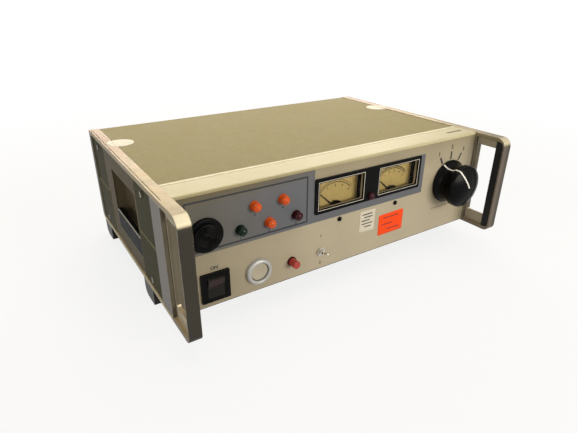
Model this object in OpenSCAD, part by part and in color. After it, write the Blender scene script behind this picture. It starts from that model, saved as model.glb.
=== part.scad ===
// Bench hipot tester in a full-width instrument cabinet with cast side frames and front handles.
// X points right, Y to the back, Z up. The origin lies under the middle of the cabinet, on the bench.

/* [Cabinet] */
// Width across the outer faces of the two side frames
cab_w = 425.5; // [415:0.5:480]
// Height of the side frames without the feet
cab_h = 123; // [121:0.5:150]
// Depth from the face of the front panel to the back of the side frames
cab_d = 274; // [264:1:400]
// Thickness of a cast side frame
frame_t = 12.5; // [11:0.5:15]
// Thickness of the top, bottom and rear sheets
sheet_t = 1.5; // [1:0.1:2.5]
// How far the top and bottom covers lie below the edges of the frames
cover_drop = 0.5; // [0.2:0.1:1.2]
// Gap round pieces that drop into place
fit = 0.2; // [0.1:0.05:0.4]
// Running clearance of a shaft or pin in its bore
run = 0.06; // [0.03:0.01:0.1]

/* [Handles] */
// How far the handles stand out in front of the panel
handle_out = 42; // [38:1:55]
// Width of a handle's window, front to back
window_w = 26.5; // [20:0.5:27]
// Height of a handle's window
window_h = 91.2; // [70:0.2:92]
// Height of the window's lower edge
window_z = 17.3; // [16:0.1:20]
// Distance from the panel's face to the window
window_back = 4; // [3:0.5:8]
// Width of the raised rim along the top and bottom
rim_w = 4.5; // [3:0.5:6]
// Width of the raised rim along the front bar
nose_rim = 1.8; // [1.5:0.1:4]
// Depth of the web below the rim, on both faces
web_drop = 4.2; // [2:0.1:4.5]
// Rounding of the upper front corner
nose_r = 11; // [8:0.5:14]
// Rounding of the lower corners
heel_r = 7; // [5:0.5:9]
// Rounding of the upper rear corner
tail_r = 3; // [1:0.5:6]
// How far the handle insert lies below the rim
insert_drop = 0.5; // [0.2:0.1:1]

/* [Sides] */
// Depth of the rebate that the side covers lie in
rebate = 3.6; // [3.4:0.1:4.5]
// Width of the frame's border above and below the rebate
border = 4.5; // [3:0.5:6]
// Width of the frame's border behind the rebate
rear_border = 10; // [8:0.5:14]
// Height of the frame's upper and lower rails, ledges included
side_rail_h = 20; // [17:0.5:22]
// Width of the trim strip behind the panel
trim_w = 26.5; // [22:0.5:30]
// Depth of the front side covers, front to back
front_cover_d = 58; // [45:0.5:65]
// Depth of the hand-grip plates, front to back
grip_d = 122; // [110:1:130]
// Thickness of the upper half of a side cover
cover_t = 1.8; // [1.5:0.1:2.2]
// Step at mid height, where the cover's lower half stands proud
cover_step = 0.7; // [0.3:0.1:1]
// Height of that step
step_z = 61; // [50:1:75]
// Radius of the side cover screws' heads
screw_head_r = 3.2; // [3:0.1:4.5]
// Radius of the screws' shanks
screw_r = 2; // [1.5:0.1:2.5]
// Distance of the side cover screws from the cover's upper and lower edges
screw_in = 9.5; // [8:0.5:12]

/* [Hand grips] */
// Front to back width of the hand opening
hand_w = 92; // [85:1:98]
// Height of the hand opening's upper edge
hand_top = 98; // [90:1:100]
// Height of the carry bar's upper edge
bar_top = 48; // [44:1:54]
// Height of the carry bar
bar_h = 23.5; // [18:0.5:26]
// Thickness of the carry bar
bar_t = 6; // [5:0.5:8]
// Depth of the hand pocket
pocket_deep = 28; // [24:1:32]
// Wall of the hand pocket
pocket_wall = 2; // [1.5:0.1:3]
// Height of the pocket's deepest line
pocket_mid = 66; // [62:1:70]
// Rounding where the pocket's ends meet its back
pocket_end_r = 18; // [12:1:20]

/* [Feet] */
// Height of the feet
foot_h = 23; // [16:1:30]
// Length of a foot, front to back
foot_l = 31; // [26:1:40]
// Width of a foot
foot_w = 30; // [24:1:40]
// How far a foot's outer face lies inside the frame's outer face
foot_in = 1; // [0:0.5:4]
// Distance from the panel's face to the middle of the front feet
foot_front = 80; // [60:1:110]
// Distance from the back of the frames to the middle of the rear feet
foot_back = 17; // [16:1:40]
// Rounding of a foot's lower rear edge
foot_r = 10; // [6:1:14]
// Rounding of a foot's lower front edge
foot_toe_r = 2; // [1:0.5:4]

/* [Front rails and panel] */
// Thickness of the front rails
rail_t = 2.5; // [2:0.1:3.5]
// Depth of the top front rail
rail_d = 36.6; // [30:0.5:45]
// Distance from the panel's face to the groove in the top rail
groove_y = 31.2; // [26:0.2:32]
// Width of the groove in the top rail
groove_w = 1.4; // [0.6:0.1:2]
// Depth of the groove in the top rail
groove_deep = 1.2; // [0.4:0.1:1.5]
// Length of the slot in the top rail
slot_l = 27.5; // [20:0.5:35]
// Thickness of the front panel
panel_t = 3; // [2:0.1:4]
// Thickness of the grey overlay
overlay_t = 0.5; // [0.3:0.1:0.8]
// Height of the overlay's lower edge
overlay_z = 61; // [58:0.5:64]
// Width of the overlay's tall part, from the left edge of the panel
overlay_tall_w = 148.5; // [140:0.5:150]
// Width of the whole overlay, from the left edge of the panel
overlay_w = 310.5; // [306:0.5:314]

/* [Meters] */
// Distance from the panel's left edge to the middle of the left meter
meter_x = 183.5; // [183:0.5:190]
// Distance between the middles of the two meters
meter_pitch = 83.75; // [81:0.25:86]
// Height of the middle of the meter windows
meter_z = 90; // [88:0.5:91]
// Width of a meter window
meter_w = 61; // [56:0.5:62]
// Height of a meter window
meter_h = 31; // [28:0.5:33]
// Width of the black bezel round the windows
bezel_w = 4.2; // [3:0.1:5]
// How far the bezel stands out from the overlay
bezel_t = 2; // [1.5:0.1:3]
// Depth of a meter case behind the panel
case_d = 36; // [32:1:45]
// Wall of a meter case
case_wall = 1.6; // [1.2:0.1:2]
// Depth of the dial below the panel's face
dial_deep = 10; // [9:0.5:14]
// Height of the pointers' pivots
pivot_z = 68.5; // [66:0.5:70]
// Length of a pointer from its pivot
pointer_l = 28; // [24:0.5:30]
// Angle of a pointer at rest, left of upright
pointer_rest = 48; // [40:1:50]
// Radius of the round cover over a pivot
pivot_cover_r = 8; // [7:0.5:9]
// Height of the zero-adjusting screws
zero_z = 56.8; // [55.5:0.1:57]
// Radius of a zero screw's head
zero_r = 2.6; // [2:0.1:3]

/* [Lamps and buzzer] */
// Distance from the panel's left edge to the green lamp
lamp_x = 62; // [60:0.5:64]
// Distance between neighbouring lamps in a row
lamp_pitch = 31.8; // [28:0.2:33]
// Height of the lower row of lamps
lamp_z = 76.6; // [75:0.1:79]
// Height of the upper row of lamps
lamp_top_z = 97.8; // [95:0.2:99]
// Radius of a lamp lens
lens_r = 4.6; // [4:0.1:5.5]
// How far a lamp lens stands out
lens_h = 9.5; // [6:0.5:11]
// Distance from the panel's left edge to the buzzer
buzzer_x = 26.5; // [25:0.5:31]
// Height of the middle of the buzzer
buzzer_z = 80.7; // [79:0.1:82]
// Radius of the buzzer's mounting ring
buzzer_ring_r = 17.2; // [16:0.2:18]
// Radius of the buzzer's front cap
buzzer_r = 13; // [11:0.2:14]
// How far the buzzer's cap stands out
buzzer_h = 7; // [5:0.5:9]

/* [Lower row] */
// Height of the middle of the lower row of controls
row_z = 23.5; // [22:0.1:25]
// Distance from the panel's left edge to the power switch
power_x = 32.6; // [31:0.1:35]
// Width of the power switch's frame
power_w = 30; // [28:0.5:31]
// Height of the power switch's frame
power_h = 32; // [30:0.5:33]
// Width of the rocker
rocker_w = 17; // [15:0.1:20]
// Radius of the rocker's ends about its pivot
rocker_r = 11.8; // [11:0.1:12]
// Half of the angle that the rocker tips through
rocker_tip = 7; // [5:0.5:9]
// Distance from the panel's left edge to the start button
start_x = 80.5; // [79:0.5:84]
// Outer radius of the start button's ring
start_ring_r = 14.4; // [14:0.2:16]
// Radius of the start button
start_r = 9.8; // [9:0.1:10.4]
// Travel of the start button
start_travel = 3; // [2:0.5:4]
// Distance from the panel's left edge to the reset button
reset_x = 121; // [118:0.5:122]
// Radius of the reset button
reset_r = 4.4; // [4:0.1:5]
// How far the reset button stands out
reset_h = 11; // [9:0.5:13]
// Travel of the reset button
reset_travel = 2.5; // [2:0.5:3]
// Distance from the panel's left edge to the toggle switch
toggle_x = 158.9; // [157:0.1:161]
// Length of the toggle lever from its pivot
toggle_l = 12.5; // [10:0.5:15]
// Half of the angle that the toggle lever tips through
toggle_tip = 12; // [8:1:14]

/* [Selector] */
// Distance from the panel's right edge to the selector
selector_x = 42.5; // [40:0.1:46]
// Height of the middle of the selector
selector_z = 66.2; // [62:0.1:68]
// Radius of the knob's skirt
skirt_r = 27.6; // [26.5:0.1:29]
// Thickness of the knob's skirt
skirt_t = 3; // [2:0.5:4]
// Radius of the knob's grip
grip_r = 26.2; // [23:0.1:26.4]
// Height of the knob's grip, without the gap under it and the crown
knob_h = 25.5; // [23:0.5:28]
// Height of the knob's domed crown
crown_h = 7.6; // [5:0.1:9]
// Depth of the knob's waist
waist_deep = 3.2; // [2:0.2:4]
// Rounding of the edge between the grip and the crown
knob_edge_r = 2.5; // [1:0.5:4]
// Radius of the selector's shaft
shaft_r = 3; // [2.5:0.1:3.5]

/* [Back and inside] */
// Distance from the back of the frames to the rear panel's outer face
rear_inset = 18; // [17:0.5:22]
// Height of the row of fittings on the rear panel
rear_z = 42; // [36:1:50]
// Distance from the middle to the mains inlet
inlet_x = 135; // [120:1:150]
// Distance from the middle to the fuse holder
fuse_x = 88; // [80:1:92]
// Distance from the middle to the nearer output terminal
terminal_x = 88; // [70:1:100]
// Distance between the two output terminals
terminal_pitch = 40; // [30:1:50]
// Radius of a terminal's socket
socket_r = 2; // [1.9:0.1:2.2]

/* [Hidden] */
$fn = 64;
// How far a cut runs past the face it opens
over = 1;

// Places of the main faces
outer_x = cab_w / 2;
inner_x = outer_x - frame_t;
panel_y = (handle_out - cab_d) / 2;
rear_y = cab_d - rear_inset;
lid_z = cab_h - cover_drop - sheet_t;
floor_z = cover_drop + sheet_t;
// The layout of the panels is drawn for this width and height, and spreads with the cabinet
layout_w = 400.5;
layout_h = 123;
spread = 2 * inner_x / layout_w;
rise = cab_h / layout_h;

// Ledges that carry the top and bottom covers and the tray
lip_w = 8;
lip_t = 3;
// Flange of a side frame that carries the rear panel
flange_w = 9;
flange_t = 3;

// Side openings, measured back from the panel's face
rebate_front = 1.5;
bay_front = 36;
bay_back = cab_d - rear_inset - flange_t - over;
trim_back = rebate_front + trim_w;
front_cover_back = trim_back + front_cover_d;
grip_back = front_cover_back + grip_d;
rear_cover_back = cab_d - rear_border;
seat_x = outer_x - rebate;
hand_front = front_cover_back + fit + pocket_wall;
hand_back = hand_front + hand_w;
bar_bottom = bar_top - bar_h;
// The pocket is part of a cylinder whose axis lies outside the plate's face
pocket_rise = hand_top - pocket_mid;
pocket_axis = (pocket_rise * pocket_rise - pocket_deep * pocket_deep) / (2 * pocket_deep);
pocket_r = pocket_deep + pocket_axis;
// The room in plan ends this far past the deepest line, so that only its round corners cut
pocket_past = 1;
screw_zs = [border + screw_in, cab_h - border - screw_in];
screw_ys = [(trim_back + front_cover_back) / 2, (grip_back + rear_cover_back) / 2];
screw_l = 7;
foot_head_t = 2;
trim_drop = 0.4;
// Cross recess of a side cover screw
cross_l = 3.8;
cross_w = 0.8;
cross_deep = 0.6;
// Fine groove along the top edge of a side frame
edge_groove_in = 2.2;
edge_groove_w = 0.7;
edge_groove_deep = 0.5;
window_r = 2;
// Walls of a foot's hollow
foot_wall = 3;
foot_boss_wall = 2;

// Front rails
rail_web_t = 4;
bottom_web_h = 6;
slot_y = 17.5;
slot_w = 3.4;
slot_deep = 1.6;
slot_from_right = 7.5;

// Meters
meter_xs = [from_left(meter_x), from_left(meter_x + meter_pitch)];
warning_x = meter_x + meter_pitch / 2;
bezel_r = 1.5;
bezel_lip = 1.2;
pane_t = 1.5;
pane_r = 2;
pane_w = meter_w * spread;
meter_top = up(meter_z) + meter_h / 2;
case_rim = 2.75;
case_r = 2;
case_w = pane_w + 2 * case_rim;
case_top = meter_top + case_rim;
case_bottom = up(zero_z) - zero_r - case_rim;
case_h = case_top - case_bottom;
case_shift = (case_top + case_bottom) / 2 - up(meter_z);
// The top rail's web ends above the meter cases
top_web_h = cab_h - rail_t - case_top - fit;
dial_t = 0.8;
pivot_r = 0.9;
hub_r = 3;
hub_t = 1.2;
blade_t = 0.5;
blade_w = 1;
pointer_gap = 0.8;
pivot_l = 5;
movement_w = 30;
magnet_l = 12;
tail_l = 2;
taper_at = 0.6;
cover_plate_t = 0.8;
zero_shank_r = 1.8;
zero_head_t = 1.4;
zero_grip = 2;
zero_slot_w = 0.8;
zero_slot_deep = 0.8;

// Lamps, as places from the panel's left edge
green_spots = [[lamp_x, lamp_z]];
amber_spots = [
    [lamp_x + lamp_pitch / 2, lamp_top_z],
    [lamp_x + lamp_pitch * 3 / 2, lamp_top_z],
    [lamp_x + lamp_pitch, lamp_z]
];
red_spots = [[lamp_x + 2 * lamp_pitch, lamp_z]];
lamp_spots = concat(green_spots, amber_spots, red_spots);
stem_r = lens_r - 0.8;
stem_l = panel_t + 2;
lens_rim_w = 0.6;
lens_rim_t = 1.4;
lens_dome = 0.55;
socket_wall = 1.6;
socket_l = 18;
warning_z = 75.5;
warning_r = 4.4;
warning_h = 4;
warning_edge_r = 3;

// Buzzer
buzzer_ring_t = 3.5;
buzzer_body_r = buzzer_ring_r + 0.6;
buzzer_body_l = 24;
buzzer_edge_r = 1.5;
ring_edge_r = 1.6;
grooves = [0.2, 0.4, 0.6, 0.8];
buzzer_groove_w = 1.1;
buzzer_groove_deep = 1.2;
vent_r = 1.2;
vent_deep = 2.5;

// Power switch
power_lap = 2;
power_cut_w = power_w - 2 * power_lap;
power_cut_h = power_h - 2 * power_lap;
power_body_l = 24;
power_frame_t = 2.5;
rocker_axis = -1;
rocker_pin_r = 1.2;
rocker_pin_l = 1.2;
rocker_gap = 0.3;
rocker_well = 16;
rocker_edge = 5.5;
rocker_dip = 3.2;
rocker_belly = 3;
rocker_tail_w = 6;
rocker_tail_l = 7;
power_edge_r = 0.8;
power_cut_r = 1;
lens_low = 0.9;
lens_end = 1.6;
lens_side = 0.8;
lens_floor = 2.2;
lens_sunk = 0.4;

// Start and reset buttons
start_z = row_z + 1;
start_ring_t = 5;
start_barrel_wall = 1.6;
start_barrel_r = start_r + fit + start_barrel_wall;
start_ring_in = 1.4;
start_outer_edge_r = 2.6;
start_inner_edge_r = 1.2;
start_face = 2.6;
start_body_l = 28;
start_body_wall = 2;
start_well = 3;
start_back_wall = 4;
start_cap_edge_r = 1;
dish_r = 30.8;
dish_deep = 0.8;
reset_drop = 0.7;
reset_z = row_z - reset_drop;
reset_flange_w = 0.9;
reset_flange_r = reset_r + reset_flange_w;
reset_flange_t = 1;
reset_barrel_wall = 0.6;
reset_barrel_r = reset_r + reset_barrel_wall;
reset_body_wall = 2.5;
reset_body_r = reset_r + reset_body_wall;
reset_body_l = 22;
reset_skirt = 2;
reset_well = 3;
reset_back_wall = 2;
reset_edge_r = 0.8;

// Toggle switch
toggle_thread_r = 3.1;
toggle_thread_h = 4.5;
toggle_nut_r = 5.2;
toggle_nut_t = 2;
toggle_axis = 2.4;
toggle_ball_r = 2;
toggle_well = 6;
toggle_pin_r = 0.6;
toggle_pin_l = 2.6;
toggle_neck_r = 0.9;
toggle_tip_r = 1.5;
toggle_body = [13, 16, 20];

// Selector
knob_gap = 1.2;
skirt_edge_r = 1;
grip_band = 7;
waist_h = knob_h - skirt_t - grip_band;
waist_r = (waist_h * waist_h / 4 + waist_deep * waist_deep) / (2 * waist_deep);
crown_r = (grip_r * grip_r + crown_h * crown_h) / (2 * crown_h);
bushing_r = 4.7;
bushing_l = 3;
bushing_room = 2;
shaft_front = 20;
shaft_back = 34;
wafer_r = 17;
wafer_t = 2;
wafer_spots = [17, 27];
hub_l = 8;
tie_r = 1.6;
tie_l = 29;
tie_at = 0.58;

// Inside
tray_z = floor_z + lip_t;
deck_z = tray_z + sheet_t;
tray_front = 62;
standoff_h = 9;
standoff_r = 3;
standoff_in = 6;
board_gap = 15;
board_d = 110;
board_y = 92;
board_t = 1.6;
relay_size = [18, 28, 16];
relay_pitch = 26;
relay_at = [-0.15, 0.67];
capacitor_r = 11;
capacitor_h = 35;
capacitor_pitch = 28;
capacitor_at = [0.29, 0.47];
chip_size = [8, 20, 4];
chip_pitch = 20;
chip_at = [-0.07, 0.29];
// Overlap of pieces that are joined
weld = 0.2;
transformer_back = 68;
transformer_in = 64.25;
transformer_x = inner_x - transformer_in;
core_size = [48, 44, 50];
coil_size = [36, 62, 32];
strap_size = [64, 28, 2];
potted_in = 82.25;
potted_x = inner_x - potted_in;
potted_size = [84, 70, 62];
outlet_pitch = 40;
outlet_r = 7;
outlet_h = 12;
rib_w = 2;
// The board fills the room between the two transformers
board_left = -potted_x + potted_size[0] / 2 + board_gap;
board_right = transformer_x - strap_size[0] / 2 - board_gap;
board_w = board_right - board_left;
board_x = (board_left + board_right) / 2;

// Rear fittings
inlet_flange = [48, 24];
inlet_flange_t = 2.5;
inlet_body = [28, 21];
inlet_mouth = [24.4, 17];
inlet_deep = 15;
inlet_back_wall = 3;
inlet_flange_r = 4;
inlet_r = 2;
blade_size = [2, 4, 14];
blade_spots = [[-7, -2], [0, 2], [7, -2]];
fuse_r = 6.4;
fuse_l = 34;
fuse_out = 12;
fuse_flange_w = 2;
fuse_flange_t = 3;
fuse_cap_r = fuse_r - 0.6;
fuse_slot_w = 1.6;
fuse_slot_deep = 1.5;
terminal_r = 4;
terminal_l = 20;
terminal_flange_t = 3;
terminal_grip_r = 6.4;
terminal_out = 14;
socket_deep = 26;

function from_left(d) = d * spread - inner_x;
function from_right(d) = inner_x - d * spread;
function up(z) = z * rise;

// Extrudes a profile drawn in Y and Z, measured from the panel's face and the frame's foot
module along_x(x0, x1) {
    translate([x0, panel_y, foot_h]) rotate([90, 0, 90]) linear_extrude(x1 - x0) children();
}

// Extrudes a profile drawn in X and Z
module along_y(y0, y1) {
    translate([0, panel_y + y1, foot_h]) rotate([90, 0, 0]) linear_extrude(y1 - y0) children();
}

// Box between two corners, measured from the panel's face and the frame's foot
module block(low, high) {
    translate([low[0], panel_y + low[1], foot_h + low[2]]) cube(high - low);
}

// Box that stands at a height, about a middle in X and Y
module standing(x, y, z, size) {
    translate([x - size[0] / 2, panel_y + y - size[1] / 2, foot_h + z]) cube(size);
}

// Places a fitting on the front panel at a height of the layout, its own Z pointing out of the panel
module on_panel(x, z) {
    translate([x, panel_y, foot_h + up(z)]) rotate([90, 0, 0]) children();
}

// Places a fitting on the rear panel at a place of the layout, its own Z pointing out of the back
module on_rear(x, z) {
    translate([x * spread, panel_y + rear_y, foot_h + up(z)]) rotate([90, 0, 180]) children();
}

// Places a fitting on the right side frame, its own Z pointing out of the side
module on_side(y, z) {
    translate([seat_x, panel_y + y, foot_h + z]) rotate([90, 0, 90]) children();
}

module rod(r, z0, z1) {
    translate([0, 0, z0]) cylinder(r = r, h = z1 - z0);
}

// Rectangle with round corners, about its middle
module soft_rect(w, h, r) {
    square([w - 2 * r, h], center = true);
    square([w, h - 2 * r], center = true);
    for (x = [-1, 1], y = [-1, 1]) translate([x * (w / 2 - r), y * (h / 2 - r)]) circle(r);
}

module soft_box(w, h, r, z0, z1) {
    translate([0, 0, z0]) linear_extrude(z1 - z0) soft_rect(w, h, r);
}

// What lies outside a round corner at a point; the direction points into the body
module corner(point, dir, r) {
    translate(point + r * dir) difference() {
        translate([min(0, -dir[0] * (r + over)), min(0, -dir[1] * (r + over))]) square(r + over);
        circle(r);
    }
}

// Side frames, drawn for the right side

module frame_outline() {
    difference() {
        translate([-handle_out, 0]) square([handle_out + cab_d, cab_h]);
        corner([-handle_out, cab_h], [1, -1], nose_r);
        corner([-handle_out, 0], [1, 1], heel_r);
        corner([cab_d, cab_h], [-1, -1], tail_r);
        corner([cab_d, 0], [-1, 1], heel_r);
    }
}

// Recessed web of the handle, drawn in by a margin
module web_outline(margin) {
    front = -handle_out + nose_rim + margin;
    back = -window_back / 2 - margin;
    low = rim_w + margin;
    high = cab_h - rim_w - margin;
    difference() {
        translate([front, low]) square([back - front, high - low]);
        corner([front, high], [1, -1], nose_r - rim_w);
        corner([front, low], [1, 1], heel_r - nose_rim);
    }
}

module window_outline() {
    translate([-window_back - window_w / 2, window_z + window_h / 2]) soft_rect(window_w, window_h, window_r);
}

module rebate_outline() {
    translate([rebate_front, border]) square([rear_cover_back - rebate_front, cab_h - 2 * border]);
}

module bay_outline() {
    translate([bay_front, side_rail_h]) square([bay_back - bay_front, cab_h - 2 * side_rail_h]);
}

module side_frame() {
    difference() {
        union() {
            along_x(inner_x, outer_x) frame_outline();
            for (z = [floor_z, lid_z - lip_t])
                block([inner_x - lip_w, rail_d + fit, z], [inner_x + over, rear_y - sheet_t, z + lip_t]);
            block(
                [inner_x - flange_w, rear_y - sheet_t - flange_t, floor_z + over],
                [inner_x + over, rear_y - sheet_t, lid_z - over]
            );
        }
        along_x(inner_x - over, outer_x + over) window_outline();
        along_x(outer_x - web_drop, outer_x + over) web_outline(0);
        along_x(inner_x - over, inner_x + web_drop) web_outline(0);
        along_x(seat_x, outer_x + over) rebate_outline();
        along_x(inner_x - over, outer_x + over) bay_outline();
        // Fine groove along the top edge
        block(
            [outer_x - edge_groove_in - edge_groove_w, 0, cab_h - edge_groove_deep],
            [outer_x - edge_groove_in, cab_d - heel_r, cab_h + over]
        );
        for (y = screw_ys, z = screw_zs) on_side(y, z) rod(screw_r + run, -screw_l, over);
        for (y = foot_ys()) translate([outer_x - frame_t / 2, panel_y + y, foot_h - over])
            cylinder(r = screw_r + run, h = screw_l + over);
    }
}

module left_side_frame() color("#b9ad9d") mirror([1, 0, 0]) side_frame();

module right_side_frame() color("#b9ad9d") side_frame();

module handle_insert() {
    bar_back = -window_back - window_w - fit;
    along_x(inner_x + insert_drop, inner_x + web_drop) intersection() {
        web_outline(fit);
        translate([-handle_out, 0]) square([handle_out + bar_back, cab_h]);
    }
}

module handle_inserts() color("#1d1d1d") {
    handle_insert();
    mirror([1, 0, 0]) handle_insert();
}

module trim_strip() {
    along_x(seat_x, outer_x - trim_drop)
        translate([rebate_front + fit, border + fit]) square([trim_w - 2 * fit, cab_h - 2 * border - 2 * fit]);
}

module side_trim_strips() color("#8d8a86") {
    trim_strip();
    mirror([1, 0, 0]) trim_strip();
}

// Sheet with a step at mid height, held by a screw at the top and one at the bottom
module side_cover(y0, y1) {
    low = border + fit;
    high = cab_h - border - fit;
    face = seat_x + cover_t;
    difference() {
        along_y(y0 + fit, y1 - fit) polygon([
            [seat_x, low], [face + cover_step, low], [face + cover_step, step_z],
            [face, step_z], [face, high], [seat_x, high]
        ]);
        for (z = screw_zs) on_side((y0 + y1) / 2, z) rod(screw_r + fit, -over, rebate + over);
    }
}

module right_front_side_cover() color("#4b4a40") side_cover(trim_back, front_cover_back);

module left_front_side_cover() color("#4b4a40") mirror([1, 0, 0]) side_cover(trim_back, front_cover_back);

module right_rear_side_cover() color("#4b4a40") side_cover(grip_back, rear_cover_back);

module left_rear_side_cover() color("#4b4a40") mirror([1, 0, 0]) side_cover(grip_back, rear_cover_back);

module side_screws() {
    for (y = screw_ys, z = screw_zs) {
        face = cover_t + (z < step_z ? cover_step : 0);
        on_side(y, z) difference() {
            union() {
                rod(screw_r, -screw_l + over, face + over / 2);
                rod(screw_head_r, face, rebate - fit);
            }
            for (turn = [0, 90]) rotate([0, 0, turn])
                translate([-cross_l / 2, -cross_w / 2, rebate - fit - cross_deep])
                    cube([cross_l, cross_w, cross_deep + over]);
        }
    }
}

module side_cover_screws() color("#a9a49a") {
    side_screws();
    mirror([1, 0, 0]) side_screws();
}

// Room of a hand pocket: a scoop with round ends
module pocket_room(axis, back) {
    intersection() {
        along_y(hand_front, hand_back) translate([axis, pocket_mid]) circle(pocket_r);
        translate([0, panel_y, foot_h]) linear_extrude(cab_h) difference() {
            translate([back, hand_front - over]) square([outer_x + over - back, hand_w + 2 * over]);
            corner([back, hand_front], [1, 1], pocket_end_r);
            corner([back, hand_back], [1, -1], pocket_end_r);
        }
    }
}

// Moulded scoop behind the hand opening, with the plate that fills the side between the covers
module hand_pocket() {
    face = seat_x + cover_t;
    axis = face + pocket_axis;
    difference() {
        union() {
            along_x(seat_x, face)
                translate([front_cover_back + fit, border + fit])
                    square([grip_d - 2 * fit, cab_h - 2 * border - 2 * fit]);
            along_y(hand_front - pocket_wall, hand_back + pocket_wall) intersection() {
                translate([axis, pocket_mid]) circle(pocket_r + pocket_wall);
                translate([0, side_rail_h + fit]) square([seat_x + over, cab_h - 2 * (side_rail_h + fit)]);
            }
        }
        pocket_room(axis, face - pocket_deep - pocket_past);
        block([face - bar_t - fit, hand_front, bar_bottom], [outer_x + over, hand_back, bar_top]);
    }
}

module right_hand_pocket() color("#4a4740") hand_pocket();

module left_hand_pocket() color("#4a4740") mirror([1, 0, 0]) hand_pocket();

module carry_bar() {
    face = seat_x + cover_t;
    lip_r = bar_t / 3;
    along_y(hand_front + fit, hand_back - fit) difference() {
        translate([face - bar_t, bar_bottom + fit]) square([bar_t, bar_h - fit]);
        corner([face, bar_top], [-1, -1], lip_r);
        corner([face - bar_t, bar_top], [1, -1], lip_r);
    }
}

module carry_bars() color("#3d4147") {
    carry_bar();
    mirror([1, 0, 0]) carry_bar();
}

// Feet, screwed up into the side frames

function foot_ys() = [foot_front, cab_d - foot_back];

module foot(y) {
    screw_x = outer_x - frame_t / 2;
    difference() {
        along_x(outer_x - foot_in - foot_w, outer_x - foot_in) difference() {
            translate([y - foot_l / 2, -foot_h]) square([foot_l, foot_h]);
            corner([y + foot_l / 2, -foot_h], [-1, 1], foot_r);
            corner([y - foot_l / 2, -foot_h], [1, 1], foot_toe_r);
        }
        translate([screw_x, panel_y + y, -over]) {
            cylinder(r = screw_r + fit, h = foot_h + 2 * over);
            cylinder(r = screw_head_r + fit, h = foot_h / 2 + over);
        }
        // Hollow moulding beside the screw
        block(
            [outer_x - foot_in - foot_w + foot_wall, y - foot_l / 2 + foot_wall, -foot_h - over],
            [screw_x - screw_head_r - foot_boss_wall, y + foot_l / 2 - foot_r, -foot_wall]
        );
    }
}

module feet() color("#2b2b29") {
    for (y = foot_ys()) {
        foot(y);
        mirror([1, 0, 0]) foot(y);
    }
}

module foot_screw(y) {
    translate([outer_x - frame_t / 2, panel_y + y, foot_h / 2]) {
        rod(screw_r, -over / 2, foot_h / 2 + screw_l - over);
        rod(screw_head_r, -foot_head_t, 0);
    }
}

module foot_screws() color("#a9a49a") {
    for (y = foot_ys()) {
        foot_screw(y);
        mirror([1, 0, 0]) foot_screw(y);
    }
}

// Rails, covers and rear panel

module front_top_rail() color("#d8cfbd") difference() {
    along_x(-inner_x, inner_x) difference() {
        union() {
            translate([0, cab_h - rail_t]) square([rail_d, rail_t]);
            translate([panel_t, cab_h - rail_t - top_web_h]) square([rail_web_t, top_web_h + over]);
            translate([rail_d - rail_web_t, lid_z - lip_t]) square([rail_web_t + lip_w, lip_t]);
        }
        corner([0, cab_h], [1, -1], rail_t);
        translate([groove_y, cab_h - groove_deep]) square([groove_w, groove_deep + over]);
    }
    block(
        [inner_x - slot_from_right - slot_l, slot_y - slot_w / 2, cab_h - slot_deep],
        [inner_x - slot_from_right, slot_y + slot_w / 2, cab_h + over]
    );
    // Clear of the ledges on the side frames
    for (x = [-inner_x - over, inner_x - lip_w - fit])
        block([x, rail_d, lid_z - lip_t - over], [x + lip_w + fit + over, rail_d + lip_w + over, cab_h + over]);
}

module front_bottom_rail() color("#b9ad9d") difference() {
    along_x(-inner_x, inner_x) difference() {
        union() {
            square([rail_d, rail_t]);
            translate([panel_t, rail_t - over]) square([rail_web_t, bottom_web_h + over]);
            translate([rail_d - rail_web_t, floor_z]) square([rail_web_t + lip_w, lip_t]);
        }
        corner([0, 0], [1, 1], rail_t);
    }
    for (x = [-inner_x - over, inner_x - lip_w - fit])
        block([x, rail_d, -over], [x + lip_w + fit + over, rail_d + lip_w + over, floor_z + lip_t + over]);
}

module top_cover() color("#8b8158")
    block([-inner_x + fit, rail_d + fit, lid_z], [inner_x - fit, cab_d - tail_r, lid_z + sheet_t]);

module bottom_cover() color("#8b8158")
    block([-inner_x + fit, rail_d + fit, cover_drop], [inner_x - fit, cab_d - heel_r, floor_z]);

module rear_panel() color("#b3a992") difference() {
    block([-inner_x + fit, rear_y - sheet_t, floor_z], [inner_x - fit, rear_y, lid_z]);
    on_rear(inlet_x, rear_z) soft_box(inlet_body[0], inlet_body[1], inlet_r, -sheet_t - over, over);
    on_rear(fuse_x, rear_z) rod(fuse_r + fit, -sheet_t - over, over);
    for (i = [0, 1]) on_rear(-terminal_x - i * terminal_pitch, rear_z)
        rod(terminal_r + fit, -sheet_t - over, over);
}

// Front panel

module panel_holes(z0, z1) {
    on_panel(from_left(buzzer_x), buzzer_z) rod(buzzer_r + fit, z0, z1);
    for (p = lamp_spots) on_panel(from_left(p[0]), p[1]) rod(stem_r + fit, z0, z1);
    on_panel(from_left(warning_x), warning_z) rod(warning_r + fit, z0, z1);
    for (x = meter_xs) {
        on_panel(x, meter_z) soft_box(pane_w, meter_h, pane_r, z0, z1);
        on_panel(x, zero_z) rod(zero_shank_r + run, z0, z1);
    }
    on_panel(from_left(power_x), row_z) soft_box(power_cut_w, power_cut_h, power_cut_r, z0, z1);
    on_panel(from_left(start_x), start_z) rod(start_barrel_r, z0, z1);
    on_panel(from_left(reset_x), reset_z) rod(reset_barrel_r + fit, z0, z1);
    on_panel(from_left(toggle_x), row_z) rod(toggle_thread_r + fit, z0, z1);
    on_panel(from_right(selector_x), selector_z) rod(bushing_r + fit, z0, z1);
}

module front_panel() color("#b7ab97") difference() {
    block([-inner_x + fit, 0, rail_t], [inner_x - fit, panel_t, cab_h - rail_t]);
    panel_holes(-panel_t - over, over);
}

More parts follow.
